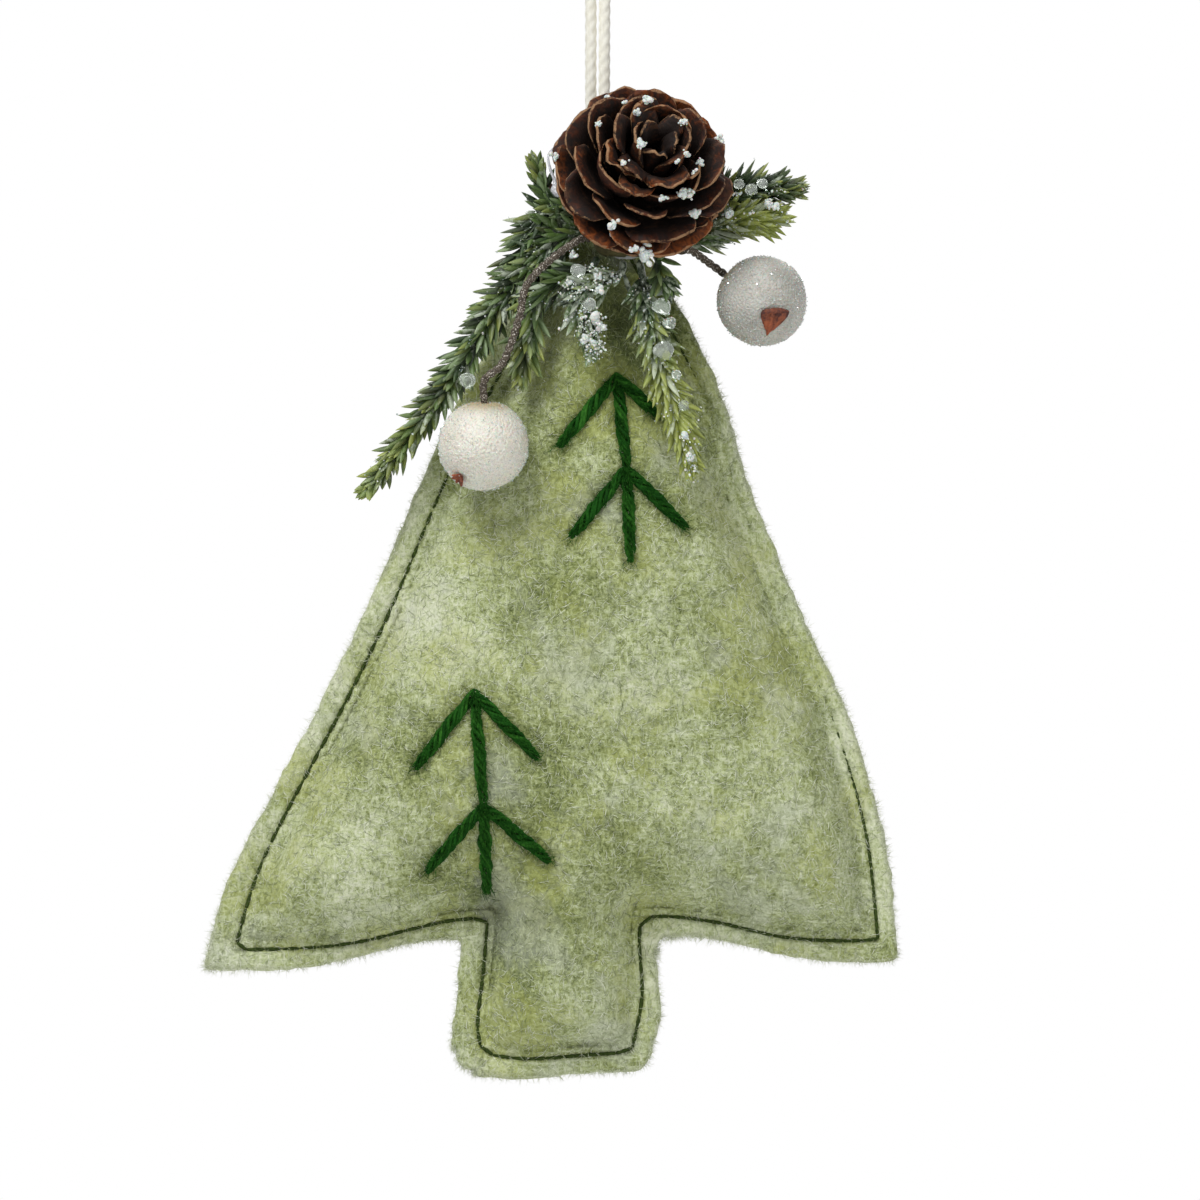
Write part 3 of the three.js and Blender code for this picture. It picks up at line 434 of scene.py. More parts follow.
feltSettings = {
    "gap": 0.3,
    "thickness": 1.5,
    "width": 99.2,
    "foliage": 115.6,
    "skirtRise": 4.2,
    "trunkWidth": 27.7,
    "trunkLength": 18.8,
    "trunkShare": -0.053,
    "trunkLean": -0.06,
    "rightTip": 0.433,
    "tipTilt": 0.006,
    "cuts": (13.6, 2.2, 1.6, 3, 3, 1.6, 2.2),
    "cornerSteps": (34, 6, 5, 8, 8, 5, 6),
    "allowance": 4.4,
    "seamCut": 0.45,
    "channel": 1.1,
    "puffDepth": 9.6,
    "puffShare": 0.52,
    "puffCentre": (-0.061, 0.8),
    "onset": 1.5,
    "spacing": 0.7,  # between the mesh's points along the edge
    "rows": 70,
    "crown": (0.15, 1.6),  # how much the flange stands up past the seam, and how soon
    "groove": (0.42, 0.5),  # depth and reach of the furrow that the seam draws
    "swells": ((16.0, 1.0), (5.5, 0.3), (1.5, 0.12)),  # size and height of the surface's lumps
    "calm": 6,  # the lumps grow over this distance from the seam
    "pucker": (0.7, 1.6),  # height and reach of the wrinkles that run in from the seam
    "puckerSize": (4.2, 9),  # and their size along the seam and away from it
    "dips": ((0.3, 1.3), (0.15, 3)),  # depth and reach of the felt's dip under a long stitch
    "tipDip": (0.4, 1.1),
    "raggedness": ((0.34, 6), (0.3, 1.7)),
    "rimInset": 0.85,
    "rounding": (  # the cut edge from its face to its back: inset and drop
        (0.62, 0.04), (0.36, 0.16), (0.12, 0.5), (0, 0.95), (0.12, 1.4), (0.5, 1.63),
    ),
    "pale": srgb(222, 226, 198),
    "light": srgb(188, 198, 150),
    "olive": srgb(150, 160, 100),
    "deep": srgb(98, 110, 54),
    "shade": srgb(62, 72, 30),
    "cool": srgb(204, 208, 200),
    # painted light on the flange
    "flangePaintedLight": 0.09,
    "seamPaintedShade": (0.05, 0.1, 0.2, 0.16, 0.05),  # darker rows along the seam: painted shade in its furrow
    # painted shade round the long stitches: depth and reach
    "stitchPaintedShade": (0.09, 2.2),
    "frosts": (
        # bluish grey patches: place and reach
        (-13.8, -99.0, 6.5), (3.0, -120.0, 6), (-52.0, -109.5, 6),
        (-9.5, -104.0, 5), (-1.5, -64.0, 6), (22.0, -97.0, 8),
    ),
    "gold": srgb(178, 184, 98),
    "clouds": (
        # painted light and shade, as patches made paler or deeper: place, reach and amount; the deepest,
        # below the cone, is its painted shadow
        (-20.9, -57.4, 13, 0.11), (-39.4, -91.2, 10, 0.06), (26.2, -78.0, 14, 0.04), (4.0, -46.0, 9, 0.03),
        (-5.3, -31.0, 10, -0.05), (-23.7, -80.7, 9, -0.04), (-8.0, -99.5, 10, -0.08), (18.0, -33.0, 8, -0.04),
        (5.0, -13.5, 8, -0.3), (8.5, -20.0, 6, -0.08), (-2.0, -118.0, 9, 0.02), (36.0, -98.0, 9, 0.04),
    ),
}
feltSides = {"front": -1, "back": 1}
feltSeeds = {-1: 1.0, 1: 7.0}  # the lumps of each side
edgeShapes = (
    # for each edge, its share of the allowance, then its bows as share along and share out
    (0.4, ((0.17, 0.019), (0.31, 0.035), (0.43, 0.027), (0.6, 0.034), (0.71, 0.042), (0.86, 0.032))),
    (0.62, ((0.2, 0.019), (0.42, 0.024), (0.67, -0.007), (0.87, -0.0135))),
    (0.6, ((0.2, 0), (0.58, 0.045))),
    (0.58, ((0.3, 0.015), (0.65, 0.04), (0.88, 0.022))),
    (0.77, ((0.22, 0.028), (0.6, 0.008))),
    (0.55, ((0.16, -0.005), (0.32, 0.01), (0.5, 0.03), (0.7, 0.028))),
    (0.67, ((0.12, 0.0155), (0.33, 0.0085), (0.45, 0.0085), (0.64, 0.0165), (0.85, 0.008))),
)


def feltCorners(s):
    trunk = s["width"] * s["trunkShare"]
    foot = trunk + s["trunkLength"] * s["trunkLean"]
    top = s["foliage"] - s["skirtRise"]
    bottom = -top - s["trunkLength"]
    half = s["trunkWidth"] / 2
    return np.array([
        (0, 0),
        (s["width"] * s["rightTip"], -s["foliage"] * (1 - s["tipTilt"])),
        (trunk + half, -top),
        (foot + half, bottom),
        (foot - half, bottom),
        (trunk - half, -top),
        (s["width"] * (s["rightTip"] - 1), -s["foliage"] * (1 + s["tipTilt"])),
    ])


corners = feltCorners(feltSettings)
edgeWays = unit(np.roll(corners, -1, 0) - corners)
outWays = np.stack([-edgeWays[:, 1], edgeWays[:, 0]], -1)
edgeSteps = [
    round(float(np.linalg.norm(after - before)) / feltSettings["spacing"])
    for before, after in zip(corners, np.roll(corners, -1, 0))
]


def bowedEdge(points, steps):
    # uniform curve through the points
    points = np.array(points)
    last = len(points) - 1
    found = []
    for share in np.linspace(0, last, steps + 1):
        k = min(int(share), last)
        t = share - k
        p = [points[min(max(k + step, 0), last)] for step in (-1, 0, 1, 2)]
        into, out = (p[2] - p[0]) / 2, (p[3] - p[1]) / 2
        cubic = (2 * p[1] - 2 * p[2] + into + out) * t ** 3
        found.append(cubic + (-3 * p[1] + 3 * p[2] - 2 * into - out) * t ** 2 + into * t + p[1])
    return np.array(found)


def panelLoop(insets, cutShare):
    # the panel's outline moved in by an inset for each edge, with its corners cut round
    s = feltSettings
    count = len(corners)
    places = []
    for i in range(count):
        a, b = outWays[i - 1], outWays[i]
        span = a[0] * b[1] - a[1] * b[0]
        before, here = insets[i - 1], insets[i]
        shift = ((before * b[1] - here * a[1]) / span, (here * a[0] - before * b[0]) / span)
        places.append(corners[i] - shift)
    runs = []
    for i in range(count):
        start, end = places[i], places[(i + 1) % count]
        length = np.linalg.norm(end - start)
        way = (end - start) / length
        bows = edgeShapes[i][1]
        middle = [start + way * (along * length) + outWays[i] * (out * length) for along, out in bows]
        first = start + way * s["cuts"][i] * cutShare
        last = start + way * (length - s["cuts"][(i + 1) % count] * cutShare)
        runs.append(bowedEdge([first, *middle, last], edgeSteps[i]))
    found = []
    for i in range(count):
        a, b = runs[i - 1][-1], runs[i][0]
        for t in np.linspace(0, 1, s["cornerSteps"][i] + 1)[1:-1]:
            found.append((1 - t) ** 2 * a + 2 * t * (1 - t) * places[i] + t ** 2 * b)
        found.extend(runs[i])
    return np.array(found)


seamInsets = [feltSettings["allowance"] * share for share, _ in edgeShapes]
edgeLoop = panelLoop([0] * len(corners), 1)
apexDrop = edgeLoop[:, 1].max()
seamLoop = panelLoop(seamInsets, feltSettings["seamCut"])
domeLoop = panelLoop([inset + feltSettings["channel"] for inset in seamInsets], feltSettings["seamCut"])
for loop in (edgeLoop, seamLoop, domeLoop):
    loop[:, 1] -= apexDrop
edgeAlong = unit(np.roll(edgeLoop, -1, 0) - np.roll(edgeLoop, 1, 0))
edgeOut = np.stack([-edgeAlong[:, 1], edgeAlong[:, 0]], -1)
puffCentre = np.array([
    feltSettings["width"] * feltSettings["puffCentre"][0],
    -feltSettings["foliage"] * feltSettings["puffCentre"][1] - apexDrop,
])
finePitch = 0.25
fineSeam = evenRoute(np.vstack([seamLoop, seamLoop[:1]]), finePitch)[:-1]
feltFace = feltSettings["gap"] / 2 + feltSettings["thickness"]


def placed(flat, depth):
    # places on the felt's plane, each with a depth, as places in the frame
    return np.stack([flat[:, 0], np.broadcast_to(depth, len(flat)), flat[:, 1]], -1)


def seamDistance(places):
    # soft distance to the seam: grows smoothly inside the dome's loop, zero outside it
    loop = domeLoop[::2]
    lengths = np.linalg.norm(np.roll(loop, -1, 0) - loop, axis=1)
    found = []
    for block in np.array_split(places, max(1, len(places) // 4000)):
        a = loop[None] - block[:, None]
        b = np.roll(loop, -1, 0)[None] - block[:, None]
        crossing = a[..., 0] * b[..., 1] - a[..., 1] * b[..., 0]
        dot = (a * b).sum(-1)
        turn = np.arctan2(crossing, dot)
        inLine = np.abs(turn) < 1e-9
        pull = np.where(inLine, 1 / np.where(dot == 0, 1, dot), turn / np.where(inLine, 1, crossing))
        inside = np.abs(turn.sum(1)) > math.pi
        found.append(np.where(inside, math.pi / np.maximum((lengths * pull).sum(1), 1e-9), 0))
    return np.concatenate(found)


fullDistance = seamDistance(puffCentre[None])[0]


def swellStart(inside):
    # the felt leaves the seam softly
    return 1 - np.exp(-(inside / feltSettings["onset"]) ** 1.2)


def puff(places):
    inside = seamDistance(places)
    share = np.clip(inside / fullDistance, 0, 2)
    return feltSettings["puffDepth"] * share ** feltSettings["puffShare"] * swellStart(inside)


def nearestSeam(places):
    # distance to the seam, and how far along the seam that is
    distance, along = [], []
    for block in np.array_split(places, max(1, len(places) // 2000)):
        apart = ((block[:, None] - fineSeam[None]) ** 2).sum(-1)
        distance.append(np.sqrt(apart.min(1)))
        along.append(apart.argmin(1) * finePitch)
    return np.concatenate(distance), np.concatenate(along)


# embroidery places, which the felt dips under

flossSettings = {
    "width": 2.1,
    "height": 1.3,
    "stem": 13.0,
    "arm": 12.7,
    "sunk": 0.45,  # how deep the ends go into the felt
    "bow": 0.35,  # how high the middle lies
    "over": 0.18,  # how much higher the arms lie, where they cross a stem
    "past": (0.75, 0.5),  # how far a stitch runs on past its start and its end
    "steps": 34,
    "sides": 7,
    "strands": 6,
    "pitch": 6.5,
    "fuzz": 230,
    "fuzzRadius": 0.045,
    "dark": srgb(6, 30, 4),
    "green": srgb(20, 72, 12),
    "light": srgb(60, 118, 38),
    "trees": (
        {
            "name": "embroidery_upper",
            "place": (0.0275, 0.225),
            "stems": ((6, 1), (2.5, 1)),
            "arms": ((0, -40, 1), (0, 47, 0.62), (1, -39, 0.97), (1, 45, 0.92)),
        },
        {
            "name": "embroidery_lower",
            "place": (-0.174, 0.609),
            "stems": ((4.5, 1.23), (2, 0.95)),
            "arms": ((0, -38, 1.06), (0, 44, 1), (1, -41, 0.96), (1, 50, 0.94)),
        },
    ),
}


def stitchEnds(tree):
    # start and end of each long stitch: the stems one after the other, then the arms
    s = flossSettings

    def step(start, lean, length):
        return start + length * np.array([math.sin(math.radians(lean)), -math.cos(math.radians(lean))])

    across, down = tree["place"]
    knots = [np.array([feltSettings["width"] * across, -feltSettings["foliage"] * down])]
    for lean, share in tree["stems"]:
        knots.append(step(knots[-1], lean, s["stem"] * share))
    arms = [(knots[k], step(knots[k], lean, s["arm"] * share)) for k, lean, share in tree["arms"]]
    return list(zip(knots, knots[1:])) + arms


allStitches = [ends for tree in flossSettings["trees"] for ends in stitchEnds(tree)]
stitchTips = np.array([end for _, end in allStitches])


def stitchDistance(places):
    # distance to the nearest long stitch
    found = []
    for start, end in allStitches:
        way = end - start
        t = np.clip(((places - start) @ way) / (way @ way), 0, 1)
        found.append(np.linalg.norm(places - start - t[:, None] * way, axis=1))
    return np.min(found, 0)


def faceDepth(places, front=-1):
    # distance of the felt's face from the seam's plane
    s = feltSettings
    seed = feltSeeds[front]
    swell = puff(places)
    distance, along = nearestSeam(places)
    depth = feltFace + swell
    inside = np.clip(distance - s["channel"], 0, None) * (swell > 0)
    crown, rise = s["crown"]
    outside = np.clip((distance - s["channel"]) / rise, 0, 1) * (swell == 0)
    inner = np.clip(inside / s["calm"], 0, 1)
    lone = placed(places, seed * 9)
    for k, (size, height) in enumerate(s["swells"]):
        share = inner if k == 0 else 0.45 + 0.55 * inner
        depth += height * share * lumpGain * lump(lone, size, seed + 2.3 * k)
    height, reach = s["pucker"]
    wide, deep = s["puckerSize"]
    pucker = lump(np.stack([along / wide, distance / deep, np.full(len(along), seed)], -1), 1)
    depth += height * pucker * inside * np.exp(-inside / reach)
    depth += crown * outside ** 2 * (3 - 2 * outside)
    groove, reach = s["groove"]
    pull = 1 + 0.35 * np.cos(2 * math.pi * along / seamSettings["pitch"])
    depth -= groove * pull * np.exp(-(distance / reach) ** 2)
    if front < 0:
        apart = stitchDistance(places)
        depth -= sum(dip * np.exp(-(apart / reach) ** 2) for dip, reach in s["dips"])
        dip, reach = s["tipDip"]
        tipApart = np.linalg.norm(places[:, None] - stitchTips, axis=2).min(1)
        depth -= dip * np.exp(-(tipApart / reach) ** 2)
    return depth


seamSettings = {
    "pitch": 2.5,
    "fluffed": (-52, 32),  # height and reach of the fluffed felt at the upper right
    "sunk": 0.6,  # how far it hides the stitches
    "uneven": 0.3,  # share of that by which other stitches sink here and there
    "proud": 0.06,
    "cover": 0.9,  # share of the pitch that a stitch fills
    "width": 0.54,
    "height": 0.46,
    "colour": srgb(26, 38, 10),
    "light": srgb(66, 84, 28),
}


def fluffed(places):
    # share to which loose fibres hide the seam, most at the upper right
    height, reach = seamSettings["fluffed"]
    return np.exp(-((places[:, 1] - height) / reach) ** 2) * (places[:, 0] > 0)


def raggedEdge(front):
    # the cut edge, with the small unevenness of scissors and fibres
    seed = feltSeeds[front]
    lone = placed(edgeLoop, seed * 5)
    raggedness = enumerate(feltSettings["raggedness"])
    wave = sum(height * lump(lone, size, seed + 4 * k) for k, (height, size) in raggedness)
    return edgeLoop + edgeOut * wave[:, None]


def cloudAt(places, x, z, reach):
    return np.exp(-((places[:, 0] - x) ** 2 + (places[:, 1] - z) ** 2) / reach ** 2)


def paintedLightShadeAt(places):
    # painted light and shade on the felt: paler and deeper patches, less a painted shade round the long
    # stitches
    s = feltSettings
    depth, reach = s["stitchPaintedShade"]
    dye = sum(amount * cloudAt(places, x, z, size) for x, z, size, amount in s["clouds"])
    return dye - depth * np.exp(-(stitchDistance(places) / reach) ** 2)


def feltPanel(name, front, settings):
    # rings from the crest over the dome, the seam's channel, the flange and the cut edge to the inside
    s = settings
    gap = s["gap"] / 2
    edge = raggedEdge(front)

    def ringsIn(shares):
        return [puffCentre + share * (domeLoop - puffCentre) for share in shares]

    dome = ringsIn(1 - (np.arange(s["rows"])[::-1] / s["rows"]) ** 1.25)
    channel = [domeLoop + t * (seamLoop - domeLoop) for t in (0.35, 0.7, 1)]
    rim = edge - edgeOut * s["rimInset"]
    flange = [seamLoop + t * (rim - seamLoop) for t in (0.08, 0.18, 0.3, 0.45, 0.6, 0.8, 1)]
    face = dome + channel + flange
    turned = [edge - edgeOut * inset for inset, _ in s["rounding"]]
    inner = [edge - edgeOut, seamLoop + 0.4 * (edge - seamLoop), seamLoop, domeLoop]
    inner += ringsIn((0.96, 0.88, 0.76, 0.6, 0.42, 0.22))

    depth = faceDepth(np.vstack(face + [puffCentre[None]]), front)
    crest = depth[-1]
    depth = list(depth[:-1].reshape(len(face), -1))
    depth += [np.maximum(depth[-1] - drop, gap) for _, drop in s["rounding"]]
    depth += [gap + puff(row) for row in inner]
    rings = np.stack([placed(row, front * d) for row, d in zip(face + turned + inner, depth)])
    outerPole = (puffCentre[0], front * crest, puffCentre[1])
    innerPole = (puffCentre[0], front * (gap + s["puffDepth"]), puffCentre[1])
    points, tris, quads = ringBody(rings, outerPole, innerPole)

    flat = points[:, [0, 2]]
    # painted light and shade on the felt: the patches and the shade round the stitches on the front, the
    # flange painted lighter on both sides, and painted shade in the rows along the seam, less where loose
    # fibres hide it
    dye = paintedLightShadeAt(flat) * (front < 0)
    start = len(dome) * len(edge)
    dye[start:] += s["flangePaintedLight"]
    dye[-2] = dye[0]  # the crest's own point comes after the rings
    for step, amount in enumerate(s["seamPaintedShade"]):
        row = start + step * len(edge)
        dye[row:row + len(edge)] -= amount * (1 - 0.7 * fluffed(seamLoop))
    cool = sum(cloudAt(flat, x, z, reach) for x, z, reach in s["frosts"])
    return onePiece(name, points, tris, quads, dye=dye, cool=cool)


def feltFinish(settings):
    s = settings
    finish = Finish("feltGreen", Roughness=0.95, Sheen_Weight=0.1, Sheen_Roughness=0.6)
    clouds = finish.grain(26, 3, 0.5)
    patches = finish.grain(7.5, 4, 0.6, turn=(0, 1, 0))
    tufts = finish.grain(1.5, 4, 0.75, warp=1.2)
    specks = finish.grain(0.42, 3, 0.8, warp=0.8)
    rising = finish.grain(0.5, 3, 0.75, stretch=(1, 1, 0.25), turn=(0, 0.5, 0), warp=0.6)
    lying = finish.grain(0.5, 3, 0.75, stretch=(0.25, 1, 1), turn=(0, -0.3, 0), warp=0.6)
    fibres = rising.maths("MAXIMUM", rising, lying)
    tone = clouds * 0.46 + patches * 0.52 + tufts * 0.4 + specks * 0.65 + fibres * 0.9 - 1.035
    # painted light and shade from the panel's points; its deepest takes the felt down to the shade stop below
    # the cone
    tone += finish.attribute("dye")
    stops = ((0.05, s["shade"]), (0.27, s["deep"]), (0.42, s["olive"]), (0.55, s["light"]), (0.74, s["pale"]))
    golden = finish.grain(11, 3, turn=(0, 2, 0)).above(0.56, 0.1)
    base = finish.mix(golden * 0.4, finish.ramp(tone, *stops), s["gold"])
    frosted = finish.grain(8, 4, 0.65, turn=(0, 4, 0)) + finish.attribute("cool") * 0.16
    finish.feed(Base_Color=finish.mix(frosted.above(0.62, 0.09) * 0.3, base, s["cool"]))
    finish.bump(fibres * 0.6 + tufts * 0.6, 0.35, 0.7)
    return finish


feltGreen = feltFinish(feltSettings)
edgeAhead = np.roll(edgeLoop, -1, 0)


# loose fibres over the felt

fuzzSettings = {
    "face": 21000,
    "edge": 10500,
    "radius": 0.042,
    "length": (0.9, 3.2),
    "edgeLength": (0.5, 1.3),  # shortest, and how much longer
    "bend": 0.4,
    "edgeBend": 0.8,
    "rise": (0.1, 0.4, 0.5),  # how high a fibre's start, middle and end may stand
    "sink": (0.12, -0.03, 0.05),  # and how deep they may lie
    "dark": srgb(116, 128, 72),
    "mid": srgb(194, 204, 160),
    "pale": srgb(246, 249, 232),
}


def fuzzFinish(settings):
    s = settings
    finish = Finish("feltFibres", Roughness=0.9, Sheen_Weight=0.2)
    tone = finish.attribute("tone") * 0.8 + finish.grain(5, 3) * 0.2
    return finish.paint(tone, (0.1, s["dark"]), (0.5, s["mid"]), (0.85, s["pale"]))


feltFibres = fuzzFinish(fuzzSettings)


def fibreBodies(heap, nodes, radius, tones):
    # thin closed spindles with a bend: nodes holds their starts, their middles and their ends
    start, middle, end = nodes
    way = unit(end - start)
    side = unit(np.cross(way, (0.0, 1.0, 0.02)))
    ring = middle[:, None] + radius * around(3, side, np.cross(way, side))
    points = np.concatenate([start[:, None], ring, end[:, None]], 1)
    one = np.array([(0, 2, 1), (0, 3, 2), (0, 1, 3), (4, 1, 2), (4, 2, 3), (4, 3, 1)])
    tris = (one + 5 * np.arange(len(points))[:, None, None]).reshape(-1, 3)
    heap.put(points.reshape(-1, 3), tris, tone=np.repeat(tones, 5))


def placesOnFelt(count):
    # random places, spread evenly over the panel, and the room between each and the edge
    a, b = edgeLoop - puffCentre, edgeAhead - puffCentre
    wedge = np.abs(a[:, 0] * b[:, 1] - a[:, 1] * b[:, 0])
    pick = dice.choice(len(edgeLoop), count, p=wedge / wedge.sum())
    share = dice.random(count)[:, None]
    rim = edgeLoop[pick] * (1 - share) + edgeAhead[pick] * share
    places = puffCentre + np.sqrt(dice.random(count))[:, None] * 0.985 * (rim - puffCentre)
    return places, np.linalg.norm(rim - places, axis=1)


def bentFibres(start, way, length, bend):
    # start, middle and end of each fibre on the felt's plane
    half = (length * 0.5)[:, None]
    cos, sin = np.cos(bend), np.sin(bend)
    turned = np.stack([way[:, 0] * cos - way[:, 1] * sin, way[:, 0] * sin + way[:, 1] * cos], -1)
    middle = start + way * half
    return start, middle, middle + turned * half


def fuzz(name, front, settings):
    s = settings
    heap = Heap()

    # fibres that lie on the face
    count = s["face"]
    angle = dice.random(count) * 2 * math.pi
    shortest, longest = s["length"]
    length = shortest + (longest - shortest) * dice.random(count) ** 1.8
    way = np.stack([np.cos(angle), np.sin(angle)], -1)
    start, room = placesOnFelt(count)
    path = bentFibres(start, way, np.minimum(length, 0.5 + 0.8 * room), dice.normal(0, s["bend"], count))
    lift = dice.random((count, 3)) ** 2 * s["rise"] - s["sink"]
    nodes = [placed(flat, front * (faceDepth(flat, front) + up)) for flat, up in zip(path, lift.T)]
    # fibres on the front darken with the felt's painted shade and lighten a little with its painted light
    tones = dice.random(count) + (2.2 * np.minimum(paintedLightShadeAt(start), 0.04) if front < 0 else 0)
    fibreBodies(heap, nodes, s["radius"], tones)

    # fibres that stand out of the cut edge
    count = s["edge"]
    pick = dice.integers(0, len(edgeLoop), count)
    way = unit(edgeOut[pick] + edgeAlong[pick] * dice.normal(0, 1.1, count)[:, None])
    start = edgeLoop[pick] - edgeOut[pick] * (0.3 + 0.5 * dice.random(count)[:, None])
    shortest, more = s["edgeLength"]
    length = shortest + more * dice.random(count) ** 2.5
    depth = front * (0.2 + dice.random(count) * 1.7)
    drift = dice.normal(0, 0.4, count)
    path = bentFibres(start, way, length, dice.normal(0, s["edgeBend"], count))
    nodes = [placed(flat, depth + drift * k * 0.5) for k, flat in enumerate(path)]
    fibreBodies(heap, nodes, s["radius"] * 0.75, 0.35 + 0.65 * dice.random(count))
    return dress(heap.piece(name), feltFibres, "tree", "felt")


def makeFelt():
    for side, front in feltSides.items():
        node = "felt_" + side
        panel = dress(feltPanel(node + "_panel", front, feltSettings), feltGreen, "tree", "felt", node)
        loose = fuzz(node + "_fibres", front, fuzzSettings)
        print(node, len(panel.data.polygons), "faces")


def makeStuffing():
    # the CAD filling with finer faces, thinned where the felt leaves the seam
    nothingSelected()
    filling = bpy.data.objects.new("stuffing_fill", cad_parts["stuffing"].data.copy())
    bpy.context.scene.collection.objects.link(filling)
    bpy.context.view_layer.objects.active = filling
    filling.select_set(True)
    bpy.ops.object.mode_set(mode="EDIT")
    bpy.ops.mesh.select_all(action="SELECT")
    bpy.ops.mesh.remove_doubles(threshold=0.00001)
    bpy.ops.mesh.subdivide(number_cuts=2, smoothness=0)
    bpy.ops.mesh.normals_make_consistent(inside=False)
    bpy.ops.object.mode_set(mode="OBJECT")
    bpy.ops.object.shade_smooth()
    places = np.array([vertex.co[:] for vertex in filling.data.vertices]) / mm
    thinning = swellStart(seamDistance(places[:, [0, 2]] - (0, treeTop)))
    for vertex, share in zip(filling.data.vertices, thinning):
        vertex.co.y *= max(share, 0.3)
    finish = Finish("fibreFill", Roughness=1.0, Sheen_Weight=0.3)
    wisps = finish.grain(2.2, 5, 0.7, warp=2.0)
    finish.paint(wisps, (0.3, srgb(214, 212, 202)), (0.65, srgb(245, 244, 238)), relief=(0.5, 0.8))
    dress(filling, finish, "tree", "stuffing", "stuffing")


makeStuffing()
makeFelt()


# seam stitches

def copies(heap, shape, turns, places, **marks):
    # the same closed shape at many places: turns are 3 by 3 tables
    points, tris = shape
    spread = np.einsum("nij,pj->npi", turns, points) + np.asarray(places)[:, None]
    for k, body in enumerate(spread):
        heap.put(body, tris, **{key: value[k] for key, value in marks.items()})


def seamRow(side, front, finish, settings):
    s = settings
    ring = evenRoute(np.vstack([seamLoop, seamLoop[:1]]), s["pitch"])[:-1]
    points, tris = shapeOf(spindle(8, [
        (-0.56, 0.2, 0.25), (-0.47, 0.75, 0.7), (-0.25, 1, 1), (0, 0.94, 1.05),
        (0.25, 1, 1), (0.47, 0.75, 0.7), (0.56, 0.2, 0.25),
    ]))
    twist = np.arctan2(points[:, 1], points[:, 0]) - points[:, 2] * 7
    points[:, :2] *= 1 + 0.2 * np.cos(2 * twist)[:, None]
    points[:, 1] += (0.5 - np.abs(points[:, 2])) * 0.5 * front - 0.2 * front
    span = np.roll(ring, -1, 0) - ring
    middle = (ring + np.roll(ring, -1, 0)) / 2
    way = placed(unit(span), 0)
    across = unit(np.cross(way, (0, 1, 0)) + (0, 0.1, 0))
    turns = np.stack([
        across * s["width"] / 2,
        np.broadcast_to((0, s["height"] / 2, 0), way.shape),
        way * (np.linalg.norm(span, axis=1) * s["cover"])[:, None],
    ], -1)
    uneven = [max(0.0, noise.noise(Vector((k / 5, feltSeeds[front], 0)))) for k in range(len(ring))]
    sunk = s["sunk"] * fluffed(middle) + s["sunk"] * s["uneven"] * np.array(uneven)
    depth = faceDepth(middle, front) + s["proud"] - sunk
    heap = Heap()
    copies(heap, (points, tris), turns, placed(middle, front * depth))
    dress(heap.piece("seam_stitches_" + side), finish, "tree", "sewing_thread", "seam_thread_" + side)


def makeSeam(settings):
    finish = Finish("seamThread", Roughness=0.8, Specular_IOR_Level=0.2)
    fibres = finish.grain(0.25, 3, 0.7, stretch=(1, 1, 0.4))
    finish.paint(fibres, (0.3, settings["colour"]), (0.7, settings["light"]), relief=(0.08, 0.5))
    for side, front in feltSides.items():
        seamRow(side, front, finish, settings)


makeSeam(seamSettings)
print("seam sewn")


# embroidery in twisted floss

def flossFinish(settings):
    finish = Finish("floss", Roughness=0.75, Specular_IOR_Level=0.1)
    tone = finish.attribute("tone") * 0.32 + finish.grain(0.22, 3, 0.75, stretch=(1, 1, 0.35)) * 0.75
    stops = ((0.2, settings["dark"]), (0.5, settings["green"]), (0.85, settings["light"]))
    finish.paint(tone, *stops)
    finish.bump(finish.grain(0.12, 2, 0.6), 0.06, 0.5)
    return finish


def flossStitch(heap, start, end, settings, lift):
    # one long stitch: it comes out of the felt, bows over it and goes back in
    s = settings
    way = unit(end - start)
    before, after = s["past"]
    start, end = start - way * before, end + way * after
    share = np.linspace(0, 1, s["steps"])
    places = start + share[:, None] * (end - start)
    bow = np.sin(math.pi * share) ** 0.35
    middle = placed(places, -(faceDepth(places) - s["sunk"] + (s["sunk"] + s["bow"] + lift) * bow))
    side = np.array([-way[1], 0, way[0]])
    length = np.linalg.norm(end - start)
    full = 0.5 + 0.5 * np.sin(math.pi * share) ** 0.6
    phase = dice.random() * 2 * math.pi
    thick = s["width"] / math.sqrt(s["strands"]) * 0.56
    for k in range(s["strands"]):
        turn = phase + 2 * math.pi * (k / s["strands"] + length * share / s["pitch"])
        turn += 0.3 * np.sin(share * 7 + k * 2.1)
        spread = (0.75 + 0.35 * dice.random()) * full
        offset = np.cos(turn)[:, None] * side * s["width"] * 0.34 * spread[:, None]
        offset[:, 1] += np.sin(turn) * s["height"] * 0.3 * spread
        route = middle + offset
        radii = np.full((s["steps"], s["sides"]), thick * 0.62) * full[:, None]
        radii *= roundEnds(route, 0.5)[:, None]
        heap.put(*sweep(route, radii), tone=dice.random())


def flossFuzz(start, end, settings):
    # loose fibres along one stitch
    count = settings["fuzz"]
    places = start + dice.random(count)[:, None] * (end - start) + dice.normal(0, 0.32, (count, 2))
    angle = np.arctan2(*(end - start)[::-1]) + dice.normal(0, 0.55, count)
    way = np.stack([np.cos(angle), np.sin(angle)], -1)
    level = faceDepth(places)
    path = bentFibres(places, way, 0.8 + 1.4 * dice.random(count), dice.normal(0, 0.6, count))
    heights = (0.4, 1.0 + 0.25 * dice.random(3)[1], 0.7)
    return [placed(flat, -level - height) for flat, height in zip(path, heights)]


